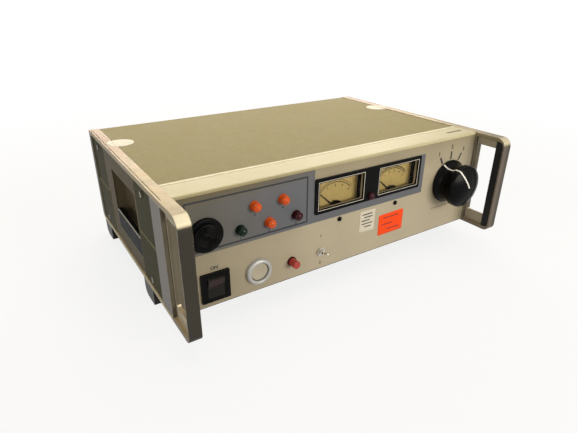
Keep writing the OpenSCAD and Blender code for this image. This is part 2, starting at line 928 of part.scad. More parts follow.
module panel_overlay() color("#7e7f80") difference() {
    left = 2 * fit - inner_x;
    along_y(-overlay_t, 0) union() {
        translate([left, up(overlay_z)])
            square([from_left(overlay_tall_w) - left, cab_h - rail_t - fit - up(overlay_z)]);
        translate([left, up(overlay_z)])
            square([from_left(overlay_w) - left, meter_top + bezel_w - up(overlay_z)]);
    }
    panel_holes(-over, overlay_t + over);
}

// Meters

module meter_bezel() color("#191919") {
    back = overlay_t;
    front = overlay_t + bezel_t;
    difference() {
        on_panel(from_left(warning_x), meter_z) soft_box(
            spread * meter_pitch + pane_w + 2 * bezel_w, meter_h + 2 * bezel_w, bezel_r, back, front
        );
        for (x = meter_xs) on_panel(x, meter_z)
            soft_box(pane_w - bezel_lip, meter_h - bezel_lip, bezel_r, back - over, front + over);
        on_panel(from_left(warning_x), warning_z) rod(warning_r + fit, back - over, front + over);
    }
}

module meter_windows() color("#dfe8ea", 0.4)
    for (x = meter_xs) on_panel(x, meter_z)
        soft_box(pane_w - 2 * fit, meter_h - 2 * fit, pane_r - fit, overlay_t - pane_t, overlay_t);

module meter_cases() color("#1b1b1b")
    for (x = meter_xs) on_panel(x, meter_z) translate([0, case_shift, 0]) difference() {
        soft_box(case_w, case_h, case_r, -panel_t - case_d, -panel_t);
        soft_box(
            case_w - 2 * case_wall, case_h - 2 * case_wall, case_r / 2,
            -panel_t - case_d + case_wall, -panel_t + over
        );
    }

module meter_dials() color("#e6dcc0")
    for (x = meter_xs) difference() {
        on_panel(x, meter_z) translate([0, case_shift, 0]) soft_box(
            case_w - 2 * case_wall - fit, case_h - 2 * case_wall - fit, case_r / 2,
            -dial_deep - dial_t, -dial_deep
        );
        on_panel(x, pivot_z) rod(pivot_r + fit, -dial_deep - dial_t - over, -dial_deep + over);
    }

// Magnet block with a round yoke, standing on the back of the case
module meter_movements() color("#8a8c90")
    for (x = meter_xs) on_panel(x, pivot_z) {
        front = -dial_deep - dial_t;
        back = -panel_t - case_d + case_wall;
        difference() {
            union() {
                translate([-movement_w / 2, -movement_w / 4, back])
                    cube([movement_w, movement_w * 3 / 4, magnet_l]);
                rod(movement_w / 3, back, front);
            }
            rod(pivot_r + run, front - pivot_l - over, front + over);
        }
    }

module pivot_covers() color("#141414")
    for (x = meter_xs) on_panel(x, pivot_z) {
        back = -dial_deep + pointer_gap + hub_t + pointer_gap;
        depth = up(pivot_z) - case_bottom - case_wall;
        rod(pivot_cover_r, back, back + cover_plate_t);
        translate([-pivot_cover_r, -depth, back]) cube([2 * pivot_cover_r, depth, cover_plate_t]);
    }

// Pointer with its hub, tail and pivot, turned to its rest
module meter_pointer(x) {
    back = -dial_deep + pointer_gap;
    on_panel(x, pivot_z) rotate([0, 0, pointer_rest]) {
        rod(hub_r, back, back + hub_t);
        rod(pivot_r, -dial_deep - dial_t - pivot_l, back + over / 2);
        translate([0, 0, back + blade_t]) linear_extrude(blade_t) polygon([
            [-blade_w, -hub_r - tail_l], [blade_w, -hub_r - tail_l], [blade_w / 2, pointer_l * taper_at],
            [blade_w / 5, pointer_l], [-blade_w / 5, pointer_l], [-blade_w / 2, pointer_l * taper_at]
        ]);
    }
}

module left_meter_pointer() color("#202020") meter_pointer(meter_xs[0]);

module right_meter_pointer() color("#202020") meter_pointer(meter_xs[1]);

module zero_screw(x) {
    on_panel(x, zero_z) difference() {
        union() {
            rod(zero_shank_r, -panel_t - zero_grip, over / 2);
            rod(zero_r, 0, zero_head_t);
        }
        translate([-zero_r - over, -zero_slot_w / 2, zero_head_t - zero_slot_deep])
            cube([2 * zero_r + 2 * over, zero_slot_w, zero_slot_deep + over]);
    }
}

module left_zero_screw() color("#141414") zero_screw(meter_xs[0]);

module right_zero_screw() color("#141414") zero_screw(meter_xs[1]);

// Lamps and buzzer

// Stepped lens with a domed end and a stem through the panel
module lens() {
    dome_h = lens_r * lens_dome;
    dome_r = (lens_r * lens_r + dome_h * dome_h) / (2 * dome_h);
    rotate_extrude() difference() {
        union() {
            translate([0, -stem_l]) square([stem_r, stem_l + overlay_t + over]);
            translate([0, overlay_t]) square([lens_r + lens_rim_w, lens_rim_t]);
            translate([0, overlay_t]) square([lens_r, lens_h - overlay_t]);
        }
        // What lies outside the dome
        difference() {
            translate([0, lens_h - dome_h]) square([lens_r + over, dome_h + over]);
            translate([0, lens_h - dome_r]) circle(dome_r);
        }
    }
}

module lenses(spots) for (p = spots) on_panel(from_left(p[0]), p[1]) lens();

module green_lens() color("#3f7d4b") lenses(green_spots);

module amber_lenses() color("#f08a1d") lenses(amber_spots);

module red_lens() color("#6d1512") lenses(red_spots);

module warning_lens() color("#4d0f12")
    on_panel(from_left(warning_x), warning_z) rotate_extrude() difference() {
        translate([0, -stem_l]) square([warning_r, stem_l + overlay_t + bezel_t + warning_h]);
        corner([warning_r, overlay_t + bezel_t + warning_h], [-1, -1], warning_edge_r);
    }

module lamp_sockets() color("#2a2a2a") {
    for (p = lamp_spots) on_panel(from_left(p[0]), p[1]) difference() {
        rod(stem_r + socket_wall, -panel_t - socket_l, -panel_t);
        rod(stem_r + fit, -stem_l - over, over);
    }
    on_panel(from_left(warning_x), warning_z) difference() {
        rod(warning_r + socket_wall, -panel_t - socket_l, -panel_t);
        rod(warning_r + fit, -stem_l - over, over);
    }
}

// Sounder with ring grooves on its cap and its drum behind the panel
module buzzer() color("#161616")
    on_panel(from_left(buzzer_x), buzzer_z) rotate_extrude() difference() {
        union() {
            translate([0, -panel_t - buzzer_body_l]) square([buzzer_body_r, buzzer_body_l]);
            translate([0, -panel_t - over]) square([buzzer_r, panel_t + over + buzzer_h]);
        }
        corner([buzzer_r, buzzer_h], [-1, -1], buzzer_edge_r);
        for (at = grooves) translate([buzzer_r * at, buzzer_h - buzzer_groove_deep])
            square([buzzer_groove_w, buzzer_groove_deep + over]);
        translate([0, buzzer_h - vent_deep]) square([vent_r, vent_deep + over]);
    }

module buzzer_ring() color("#161616")
    on_panel(from_left(buzzer_x), buzzer_z) rotate_extrude() difference() {
        translate([buzzer_r + fit, overlay_t])
            square([buzzer_ring_r - buzzer_r - fit, buzzer_ring_t]);
        corner([buzzer_ring_r, overlay_t + buzzer_ring_t], [-1, -1], ring_edge_r);
    }

// Power switch

module power_switch_body() color("#171717")
    on_panel(from_left(power_x), row_z) difference() {
        union() {
            soft_box(power_w, power_h, power_edge_r, 0, power_frame_t);
            soft_box(power_cut_w - 2 * fit, power_cut_h - 2 * fit, power_cut_r, -power_body_l, over);
        }
        cube([rocker_w + 2 * rocker_gap, 2 * (rocker_r + rocker_gap), 2 * rocker_well], center = true);
        translate([-rocker_w / 2 - rocker_pin_l - fit, 0, rocker_axis]) rotate([0, 90, 0])
            cylinder(r = rocker_pin_r + run, h = rocker_w + 2 * (rocker_pin_l + fit));
    }

module on_rocker() {
    on_panel(from_left(power_x), row_z) translate([0, 0, rocker_axis]) rotate([rocker_tip, 0, 0]) children();
}

module rocker_profile() {
    intersection() {
        circle(rocker_r);
        polygon([
            [-rocker_r, -rocker_belly], [rocker_r, -rocker_belly],
            [rocker_r, rocker_edge], [0, rocker_dip], [-rocker_r, rocker_edge]
        ]);
    }
    translate([-rocker_tail_w / 2, -rocker_tail_l])
        square([rocker_tail_w, rocker_tail_l - rocker_belly + over]);
}

// Extrudes a profile drawn upwards and outwards across the rocker
module across_rocker(w) {
    translate([-w / 2, 0, 0]) rotate([90, 0, 90]) linear_extrude(w) children();
}

module lens_slot(grow) {
    translate([lens_low - grow, lens_floor])
        square([rocker_r - lens_end - lens_low + 2 * grow, rocker_edge]);
}

module power_rocker() color("#2c2a2a") on_rocker() {
    difference() {
        across_rocker(rocker_w) rocker_profile();
        across_rocker(rocker_w - 2 * lens_side) lens_slot(0);
    }
    translate([-rocker_w / 2 - rocker_pin_l, 0, 0]) rotate([0, 90, 0])
        cylinder(r = rocker_pin_r, h = rocker_w + 2 * rocker_pin_l);
}

module rocker_lens() color("#6b2a24") on_rocker()
    across_rocker(rocker_w - 2 * lens_side - fit) intersection() {
        translate([0, -lens_sunk]) rocker_profile();
        lens_slot(-fit / 2);
    }

// Start button

module start_ring() color("#b5b0a8")
    on_panel(from_left(start_x), start_z) rotate_extrude() difference() {
        bore_r = start_barrel_r - start_ring_in;
        translate([bore_r, 0]) square([start_ring_r - bore_r, start_ring_t]);
        corner([start_ring_r, start_ring_t], [-1, -1], start_outer_edge_r);
        corner([bore_r, start_ring_t], [1, -1], start_inner_edge_r);
    }

module start_switch_body() color("#23272b")
    on_panel(from_left(start_x), start_z) difference() {
        union() {
            rod(start_barrel_r - fit, -panel_t - over, 0);
            rod(start_barrel_r + start_body_wall, -panel_t - start_body_l, -panel_t);
        }
        rod(start_r + run, -start_face - start_travel - start_well, over);
        rod(start_r / 2 + run, -start_body_l + start_back_wall, over);
    }

// Dished cap on a guide stem
module start_button() color("#e4d9c8")
    on_panel(from_left(start_x), start_z) rotate_extrude() difference() {
        union() {
            translate([0, -start_face]) square([start_r, 2 * start_face]);
            translate([0, -start_body_l + start_back_wall + start_travel + over])
                square([start_r / 2, start_body_l - start_back_wall - start_travel]);
        }
        corner([start_r, start_face], [-1, -1], start_cap_edge_r);
        translate([0, start_face - dish_deep + dish_r]) circle(dish_r);
    }

// Reset button

module reset_switch_body() color("#22201f")
    on_panel(from_left(reset_x), reset_z) difference() {
        union() {
            rod(reset_flange_r, 0, reset_flange_t);
            rod(reset_barrel_r, -panel_t - over, over);
            rod(reset_body_r, -panel_t - reset_body_l, -panel_t);
        }
        rod(reset_r + run, -reset_travel - reset_well, reset_flange_t + over);
        rod(reset_r / 2 + run, -reset_body_l + reset_back_wall, over);
    }

module reset_button() color("#c0281f")
    on_panel(from_left(reset_x), reset_z) rotate_extrude() difference() {
        union() {
            translate([0, -reset_skirt]) square([reset_r, reset_h + reset_skirt]);
            translate([0, -reset_body_l + reset_back_wall + reset_travel + over])
                square([reset_r / 2, reset_body_l - reset_back_wall - reset_travel]);
        }
        corner([reset_r, reset_h], [-1, -1], reset_edge_r);
    }

// Toggle switch

// Cross pin that the lever tips on
module toggle_pin(r, reach) {
    translate([-reach, 0, toggle_axis]) rotate([0, 90, 0]) cylinder(r = r, h = 2 * reach);
}

module toggle_switch_body() color("#9d9a94")
    on_panel(from_left(toggle_x), row_z) difference() {
        union() {
            rod(toggle_thread_r, -panel_t - over, toggle_thread_h);
            translate([-toggle_body[0] / 2, -toggle_body[1] / 2, -panel_t - toggle_body[2]]) cube(toggle_body);
        }
        rod(toggle_ball_r + run, toggle_axis - toggle_well, toggle_thread_h + over);
        toggle_pin(toggle_pin_r + run, toggle_pin_l + fit);
    }

module toggle_nut() color("#b4b0a8")
    on_panel(from_left(toggle_x), row_z) difference() {
        cylinder(r = toggle_nut_r, h = toggle_nut_t, $fn = 6);
        rod(toggle_thread_r + run, -over, toggle_nut_t + over);
    }

// Bat lever on a ball with a cross pin, tipped up
module toggle_lever() color("#c4c0b8")
    on_panel(from_left(toggle_x), row_z) {
        bat_l = toggle_l - toggle_tip_r;
        translate([0, 0, toggle_axis]) rotate([-toggle_tip, 0, 0]) rotate_extrude() intersection() {
            translate([0, -toggle_l]) square([toggle_l, 2 * toggle_l]);
            union() {
                circle(toggle_ball_r);
                polygon([[0, 0], [toggle_neck_r, 0], [toggle_tip_r, bat_l], [0, bat_l]]);
                translate([0, bat_l]) circle(toggle_tip_r);
            }
        }
        toggle_pin(toggle_pin_r, toggle_pin_l);
    }

// Selector

// Half section of the knob: skirt, waist, grip and domed crown with a round edge between the last two
module knob_profile() {
    crown_z = knob_gap + knob_h + crown_h - crown_r;
    edge_x = grip_r - knob_edge_r;
    edge_rise = sqrt(pow(crown_r - knob_edge_r, 2) - edge_x * edge_x);
    lean = atan2(edge_x, edge_rise);
    reach = 4 * knob_edge_r;
    difference() {
        union() {
            translate([0, knob_gap]) square([skirt_r, skirt_t]);
            intersection() {
                translate([0, knob_gap]) square([grip_r, knob_h + crown_h]);
                translate([0, crown_z]) circle(crown_r);
            }
        }
        translate([grip_r - waist_deep + waist_r, knob_gap + skirt_t + waist_h / 2]) circle(waist_r);
        corner([skirt_r, knob_gap + skirt_t], [-1, -1], skirt_edge_r);
        translate([edge_x, crown_z + edge_rise]) difference() {
            polygon([[0, 0], [reach * sin(lean), reach * cos(lean)], [reach, reach], [reach, 0]]);
            circle(knob_edge_r);
        }
    }
}

module selector_knob() color("#121212")
    on_panel(from_right(selector_x), selector_z) difference() {
        rotate_extrude() knob_profile();
        rod(shaft_r + run, -over, shaft_front);
        rod(bushing_r + bushing_room, -over, knob_gap + bushing_l + bushing_room);
    }

module selector_shaft() color("#b9b6b0")
    on_panel(from_right(selector_x), selector_z) rod(shaft_r, -shaft_back, shaft_front);

// Threaded bushing, frame plate and two contact wafers on tie rods
module rotary_switch() color("#c8b68a")
    on_panel(from_right(selector_x), selector_z) difference() {
        union() {
            rod(bushing_r, -panel_t - over, knob_gap + bushing_l);
            rod(2 * bushing_r, -panel_t - hub_l, -panel_t);
            rod(tie_at * wafer_r + 2 * tie_r, -panel_t - wafer_t, -panel_t);
            for (z = wafer_spots) rod(wafer_r, -panel_t - z, -panel_t - z + wafer_t);
            for (x = [-1, 1]) translate([x * wafer_r * tie_at, 0, -panel_t]) rod(tie_r, -tie_l, -over);
        }
        rod(shaft_r + run, -panel_t - shaft_back, knob_gap + bushing_l + over);
    }

// Inside

module chassis_tray() color("#b8b8b4") {
    back = rear_y - sheet_t - fit;
    difference() {
        block([-inner_x + fit, tray_front, tray_z], [inner_x - fit, back, tray_z + sheet_t]);
        // Clear of the flanges that carry the rear panel
        for (s = [-1, 1]) block(
            [s * inner_x - flange_w - fit, back - flange_t, tray_z - over],
            [s * inner_x + flange_w + fit, back + over, tray_z + sheet_t + over]
        );
    }
    for (x = [board_left + standoff_in, board_right - standoff_in])
        for (y = [board_y + standoff_in, board_y + board_d - standoff_in])
            translate([x, panel_y + y, foot_h + tray_z]) cylinder(r = standoff_r, h = sheet_t + standoff_h);
}

// Laminated core with its winding and its mounting strap
module power_transformer() color("#5b5148") {
    y = rear_y - transformer_back;
    standing(transformer_x, y, deck_z, core_size);
    standing(transformer_x, y, deck_z + (core_size[2] - coil_size[2]) / 2, coil_size);
    standing(transformer_x, y, deck_z, strap_size);
}

// Potted block with two ribbed outlets on top
module high_voltage_transformer() color("#33312e") {
    y = rear_y - transformer_back;
    standing(-potted_x, y, deck_z, potted_size);
    top = foot_h + deck_z + potted_size[2];
    for (s = [-1, 1]) translate([-potted_x + s * outlet_pitch / 2, panel_y + y, top]) {
        rod(outlet_r, -over, outlet_h);
        for (k = [1, 2]) rod(outlet_r + rib_w, k * outlet_h / 3 - rib_w / 2, k * outlet_h / 3 + rib_w / 2);
    }
}

// Board with relays, reservoir capacitors and integrated circuits
module circuit_board() color("#3d6b45") {
    top = deck_z + standoff_h + board_t;
    standing(board_x, board_y + board_d / 2, deck_z + standoff_h, [board_w, board_d, board_t]);
    for (i = [-1:1]) standing(
        board_x + relay_at[0] * board_w + i * relay_pitch, board_y + relay_at[1] * board_d,
        top - weld, relay_size
    );
    for (i = [-1, 1]) {
        y = board_y + capacitor_at[1] * board_d + i * capacitor_pitch / 2;
        translate([board_x + capacitor_at[0] * board_w, panel_y + y, foot_h + top])
            rod(capacitor_r, -weld, capacitor_h);
    }
    for (i = [-1.5:1.5]) standing(
        board_x + chip_at[0] * board_w + i * chip_pitch, board_y + chip_at[1] * board_d,
        top - weld, chip_size
    );
}

// Fittings on the rear panel

// Appliance inlet: flange, shroud and three blades
module mains_inlet() color("#1a1a1a")
    on_rear(inlet_x, rear_z) {
        difference() {
            union() {
                soft_box(inlet_flange[0], inlet_flange[1], inlet_flange_r, 0, inlet_flange_t);
                soft_box(
                    inlet_body[0] - 2 * fit, inlet_body[1] - 2 * fit, inlet_r,
                    -inlet_deep - inlet_back_wall, over
                );
            }
            soft_box(inlet_mouth[0], inlet_mouth[1], inlet_r, -inlet_deep, inlet_flange_t + over);
        }
        for (p = blade_spots)
            translate([p[0] - blade_size[0] / 2, p[1] - blade_size[1] / 2, -inlet_deep - over])
                cube(blade_size);
    }

// Barrel with a slotted cap
module fuse_holder() color("#181818")
    on_rear(fuse_x, rear_z) difference() {
        union() {
            rod(fuse_r, -fuse_l, over);
            rod(fuse_r + fuse_flange_w, 0, fuse_flange_t);
            rod(fuse_cap_r, over, fuse_out);
        }
        translate([-fuse_r - over, -fuse_slot_w / 2, fuse_out - fuse_slot_deep])
            cube([2 * fuse_r + 2 * over, fuse_slot_w, fuse_slot_deep + over]);
    }

// Two insulated sockets for the test leads
module output_terminals() color("#7d1c1a")
    for (i = [0, 1]) on_rear(-terminal_x - i * terminal_pitch, rear_z) difference() {
        union() {
            rod(terminal_r, -terminal_l, over);
            rod(2 * terminal_r, 0, terminal_flange_t);
            rod(terminal_grip_r, over, terminal_out);
        }
        rod(socket_r, terminal_out - socket_deep, terminal_out + over);
    }

left_side_frame();
right_side_frame();
handle_inserts();
side_trim_strips();
left_front_side_cover();
right_front_side_cover();
left_rear_side_cover();
right_rear_side_cover();
left_hand_pocket();
right_hand_pocket();
carry_bars();
side_cover_screws();
front_top_rail();
front_bottom_rail();
top_cover();
bottom_cover();
rear_panel();
feet();
foot_screws();
front_panel();
panel_overlay();
meter_bezel();
meter_windows();
meter_cases();
meter_dials();
meter_movements();
pivot_covers();
left_meter_pointer();
right_meter_pointer();
left_zero_screw();
right_zero_screw();
green_lens();
amber_lenses();
red_lens();
warning_lens();
lamp_sockets();
buzzer();
buzzer_ring();
power_switch_body();
power_rocker();
rocker_lens();
start_ring();
start_switch_body();
start_button();
reset_switch_body();
reset_button();
toggle_switch_body();
toggle_nut();
toggle_lever();
selector_knob();
selector_shaft();
rotary_switch();
chassis_tray();
power_transformer();
high_voltage_transformer();
circuit_board();
mains_inlet();
fuse_holder();
output_terminals();
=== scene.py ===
"""Looks of the bench hipot tester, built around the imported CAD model. Metres, in the model's own frame."""

import math

import bmesh
import bpy
from mathutils import Matrix, Vector


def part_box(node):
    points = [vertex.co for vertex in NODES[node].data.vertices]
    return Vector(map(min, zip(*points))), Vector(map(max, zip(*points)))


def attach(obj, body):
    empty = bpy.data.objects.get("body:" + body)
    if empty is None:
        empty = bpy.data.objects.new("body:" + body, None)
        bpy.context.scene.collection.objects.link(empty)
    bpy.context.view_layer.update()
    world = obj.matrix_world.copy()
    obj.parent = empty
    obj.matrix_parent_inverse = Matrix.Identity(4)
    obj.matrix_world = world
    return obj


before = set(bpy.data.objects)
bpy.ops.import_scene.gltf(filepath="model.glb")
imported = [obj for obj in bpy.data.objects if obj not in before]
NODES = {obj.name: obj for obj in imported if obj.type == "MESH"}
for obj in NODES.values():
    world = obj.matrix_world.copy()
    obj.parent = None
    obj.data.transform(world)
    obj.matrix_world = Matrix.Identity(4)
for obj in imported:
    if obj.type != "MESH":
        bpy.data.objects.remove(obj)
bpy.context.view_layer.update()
MM = 0.001

# Places that the looks are measured from, read from the solids
PANEL_LOW, PANEL_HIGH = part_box("front_panel")
FRAME_LOW, FRAME_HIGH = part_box("left_side_frame")
OVERLAY_LOW, OVERLAY_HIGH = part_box("panel_overlay")
LEFT_X = FRAME_LOW.x
RIGHT_X = -LEFT_X
FOOT_Z = FRAME_LOW.z
TOP_Z = FRAME_HIGH.z
PANEL_Y = PANEL_LOW.y
OVERLAY_Y = OVERLAY_LOW.y
BEZEL_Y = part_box("meter_bezel")[0].y
DIAL_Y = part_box("meter_dials")[0].y


# Colours and shader graphs


def rgb(code):
    """Linear colour of an sRGB hex code."""
    parts = [int(code[i:i + 2], 16) / 255 for i in (1, 3, 5)]
    linear = [c / 12.92 if c <= 0.04045 else ((c + 0.055) / 1.055) ** 2.4 for c in parts]
    return (*linear, 1.0)


def shade(colour, factor):
    return (*[min(1.0, c * factor) for c in colour[:3]], 1.0)


class Graph:
    """The nodes of a material or world, added one by one, with sizes in millimetres on the model."""

    # Cosines between the rounded and the true normal, from open faces to sharp edges
    EDGE_COSINES = (0.995, 0.85)
    # Sizes of a face's sideways normal, from other faces to side faces
    SIDE_NORMALS = (0.6, 0.8)
    # The white surroundings are for these rays, and the lamps light the rest
    SEEN_BY = ("Is Camera Ray", "Is Glossy Ray", "Is Transmission Ray")

    def __init__(self, owner):
        self.owner = owner
        owner.use_nodes = True
        self.tree = owner.node_tree
        self.tree.nodes.clear()
        self.coords = self.add("ShaderNodeTexCoord").outputs["Object"]

    def add(self, kind, inputs=None, **settings):
        made = self.tree.nodes.new(kind)
        for name, value in settings.items():
            setattr(made, name, value)
        for key, value in (inputs or {}).items():
            self.put(made.inputs[key], value)
        return made

    def put(self, socket, value):
        """Links another node's output to a socket, or sets its value."""
        if isinstance(value, bpy.types.NodeSocket):
            self.tree.links.new(value, socket)
        else:
            socket.default_value = value

    def stretched(self, scale):
        return self.add("ShaderNodeMapping", {"Vector": self.coords, "Scale": scale}).outputs[0]

    def noise(self, size, detail=2.0, coords=None):
        settings = {"Vector": coords or self.coords, "Scale": 1 / (size * MM), "Detail": detail}
        return self.add("ShaderNodeTexNoise", settings).outputs["Fac"]

    def cells(self, size):
        settings = {"Vector": self.coords, "Scale": 1 / (size * MM)}
        return self.add("ShaderNodeTexVoronoi", settings, feature="SMOOTH_F1").outputs["Distance"]

    def span(self, value, low, high, a=0.0, b=1.0):
        """Maps low..high to a..b, held at the ends."""
        settings = {"Value": value, 1: low, 2: high, 3: a, 4: b}
        return self.add("ShaderNodeMapRange", settings, clamp=True).outputs[0]

    def calc(self, kind, a, b=0.0):
        """One step of arithmetic, by Blender's name for it."""
        return self.add("ShaderNodeMath", {0: a, 1: b}, operation=kind).outputs[0]

    def product(self, first, *others):
        for other in others:
            first = self.calc("MULTIPLY", first, other)
        return first

    def above(self, value, low):
        return self.calc("GREATER_THAN", value, low)

    def below(self, value, high):
        return self.calc("LESS_THAN", value, high)

    def within(self, value, low, high):
        """Is 1 between two values and 0 elsewhere."""
        return self.product(self.above(value, low), self.below(value, high))

    def mix(self, factor, a, b):
        made = self.add("ShaderNodeMix", data_type="RGBA")
        for index, value in ((0, factor), (6, a), (7, b)):
            self.put(made.inputs[index], value)
        return made.outputs[2]

    def edges(self, radius):
        """Is 1 along sharp edges and 0 on open faces."""
        soft = self.add("ShaderNodeBevel", {"Radius": radius * MM}, samples=4).outputs[0]
        true = self.add("ShaderNodeNewGeometry").outputs["Normal"]
        dot = self.add("ShaderNodeVectorMath", {0: soft, 1: true}, operation="DOT_PRODUCT")
        return self.span(dot.outputs["Value"], *self.EDGE_COSINES)

    def axis(self, name):
        """Where the surface is along an axis."""
        return self.add("ShaderNodeSeparateXYZ", {0: self.coords}).outputs[name]

    def facing(self, name):
        """How far the surface faces along an axis."""
        normal = self.add("ShaderNodeNewGeometry").outputs["Normal"]
        return self.add("ShaderNodeSeparateXYZ", {0: normal}).outputs[name]

    def sideways(self, strength=1.0):
        """Is the strength on faces that look left or right, and 0 on others."""
        return self.span(self.calc("ABSOLUTE", self.facing("X")), *self.SIDE_NORMALS, 0.0, strength)

    def inset(self):
        """How far in from the cabinet's outer side faces."""
        return self.calc("SUBTRACT", RIGHT_X, self.calc("ABSOLUTE", self.axis("X")))

    def seen(self):
        """Is 1 for the rays that show the white surroundings."""
        ray = self.add("ShaderNodeLightPath").outputs
        seen = ray[self.SEEN_BY[0]]
        for ray_name in self.SEEN_BY[1:]:
            seen = self.calc("MAXIMUM", seen, ray[ray_name])
        return seen

    def bump(self, height, depth, soft=0.0):
        """Relief of a height; a soft radius also rounds the shading of sharp edges."""
        settings = {"Height": height, "Distance": depth * MM}
        if soft:
            settings["Normal"] = self.add("ShaderNodeBevel", {"Radius": soft * MM}, samples=6).outputs[0]
        return self.add("ShaderNodeBump", settings).outputs[0]

    def surface(self, inputs):
        shader = self.add("ShaderNodeBsdfPrincipled", inputs)
        self.add("ShaderNodeOutputMaterial", {"Surface": shader.outputs[0]})
        return self.owner


def new_graph(name):
    return Graph(bpy.data.materials.new(name))


# Patches of tone, wear and dust: sizes in millimetres, and the values of a noise between which they fade in
NOISE_MIDDLE = (0.3, 0.7)
BROAD_SIZE = 45.0
SPECK_RANGE, SPECK_GAIN, SPECK_SHADE = (0.25, 0.75), 4, 0.55
WEAR_SIZE, WEAR_FADE = 7.0, 0.2
DUST_SIZE, DUST_RANGE = 12.0, (0.4, 0.75)
DUST_COLOUR, DUST_ROUGH = "#b3aa98", 0.9
# Upward normals on which dust begins to lie and lies in full
DUST_NORMALS = (0.6, 0.95)
# How much smoother and duller than its set roughness a surface gets, over the sum of both noises
SMOOTHER, DULLER, SMOOTHEST = 0.07, 0.09, 0.02
NOISE_SUM = (0.6, 1.4)


def finish(name, code, rough, grain=(1.0, 0.02), kind="noise", mottle=0.10, speck=0.06, metal=0.0,
           wear=None, dust=0.0, spec=0.5, brushed=None, coat=0.0, coat_rough=0.08, soft=0.0,
           rub=0.7, gaps=0.42, layers=()):
    """A rigid surface: broad and fine changes of tone, grain in relief, worn edges and settled dust."""
    g = new_graph(name)
    colour = rgb(code)
    size, depth = grain
    broad = g.noise(BROAD_SIZE, 4.0)
    patches = g.span(broad, *NOISE_MIDDLE)
    if kind == "cells":
        fine = g.cells(size)
    else:
        fine = g.noise(size, 3.0, g.stretched(brushed) if brushed else None)

    def mottled(paint):
        return g.mix(patches, shade(paint, 1 - mottle), shade(paint, 1 + mottle))

    specks = g.span(fine, *SPECK_RANGE, 0.0, speck * SPECK_GAIN)
    tone = g.mix(specks, mottled(colour), shade(colour, SPECK_SHADE))
    smooth, dull = max(SMOOTHEST, rough - SMOOTHER), min(1.0, rough + DULLER)
    roughness = g.span(g.calc("ADD", broad, fine), *NOISE_SUM, smooth, dull)
    for layer in layers:
        mask, paint = layer(g)
        tone = g.mix(mask, tone, mottled(paint))
    if wear:
        patchy = g.span(g.noise(WEAR_SIZE, 4.0), gaps, gaps + WEAR_FADE)
        tone = g.mix(g.product(g.edges(rub), patchy), tone, rgb(wear))
    if dust:
        settled = g.span(g.noise(DUST_SIZE, 5.0), *DUST_RANGE, 0.0, dust)
        lying = g.product(g.span(g.facing("Z"), *DUST_NORMALS), settled)
        tone = g.mix(lying, tone, rgb(DUST_COLOUR))
        roughness = g.calc("MAXIMUM", roughness, g.product(lying, DUST_ROUGH))
    return g.surface({
        "Base Color": tone, "Roughness": roughness, "Metallic": metal, "Specular IOR Level": spec,
        "Coat Weight": coat, "Coat Roughness": coat_rough, "Normal": g.bump(fine, depth, soft),
    })


def ink(name, code, rough=0.5, mottle=0.15, speck=0.05):
    """Thin print or paint."""
    return finish(name, code, rough, (0.4, 0.01), mottle=mottle, speck=speck)


def lens(name, code, glow=0.0, streak=1.6, contrast=0.28):
    """Clear coloured plastic with moulded streaks inside; a glow, where given, is painted light."""
    g = new_graph(name)
    colour = rgb(code)
    streaks = g.noise(streak, 3.0)
    tone = g.mix(g.span(streaks, *NOISE_MIDDLE), shade(colour, 1 - contrast), shade(colour, 1.12))
    return g.surface({
        "Base Color": tone, "Roughness": g.span(streaks, *NOISE_MIDDLE, 0.10, 0.22), "IOR": 1.49,
        "Subsurface Weight": 0.35, "Subsurface Radius": (0.004, 0.0015, 0.0006), "Subsurface Scale": 0.6,
        "Emission Color": tone, "Emission Strength": glow, "Coat Weight": 0.04, "Coat Roughness": 0.06,
        "Specular IOR Level": 0.15, "Normal": g.bump(streaks, 0.02),
    })


def glass(name):
    """Thin clear window, faintly smeared."""
    g = new_graph(name)
    smears = g.noise(9.0, 4.0)
    return g.surface({
        "Base Color": rgb("#15150f"), "Roughness": g.span(smears, 0.35, 0.75, 0.03, 0.16),
        "IOR": 1.5, "Alpha": 0.07, "Normal": g.bump(g.noise(30.0), 0.02),
    })


def label(name, code):
    """Paper or foil label, faded unevenly, with faint handling marks."""
    g = new_graph(name)
    colour = rgb(code)
    fibres = g.noise(0.5, 4.0)
    faded = g.noise(11.0, 4.0)
    tone = g.mix(g.span(faded, 0.35, 0.7), shade(colour, 0.93), shade(colour, 1.04))
    tone = g.mix(g.span(fibres, 0.3, 0.8, 0.0, 0.10), tone, shade(colour, 0.7))
    return g.surface({
        "Base Color": tone, "Roughness": g.span(faded, *NOISE_MIDDLE, 0.42, 0.6),
        "Specular IOR Level": 0.2, "Normal": g.bump(fibres, 0.01),
    })


# Layers of tone and of painted light and shade: each gives a mask and a colour. Sizes in millimetres.

FRAME_T = 12.5
WEB_DROP = 4.2
WEB_SLACK = 0.6
WEB_BACK = 12.0
FLANGE_H = 6.0
NOSE_FREE = 20.0
HANDLE_EDGE = (8.0, 4.0)
HANDLE_FADE = 10.0
POCKET_LIP = (2.0, 5.0)
RAIL_SHADOW_H = 34.0
OVERLAY_SHADOW_H = 12.0
RAIL_LIP_AT = 32.0

# Where a tone fades in or out, along an axis of the model in metres
FLANGE_FADE_Y = (-0.03, 0.08)
PANEL_FADE_X = (-0.20, -0.05)
OVERLAY_FADE_X = (-0.19, -0.09)
OVERLAY_SHADOW_FADE_X = (-0.12, -0.04)
RAIL_FADE_X = (-0.10, 0.12)


def on_handles(g):
    """Is 1 on the front handles, as far back as their webs reach."""
    return g.below(g.axis("Y"), PANEL_Y + WEB_BACK * MM)


def on_right(g):
    return g.above(g.axis("X"), 0.0)


def pale_rim(g):
    """The outer faces of the handles' rims, painted a little paler as painted light on these side faces."""
    return g.product(g.sideways(0.4), on_handles(g)), rgb("#8a8170")


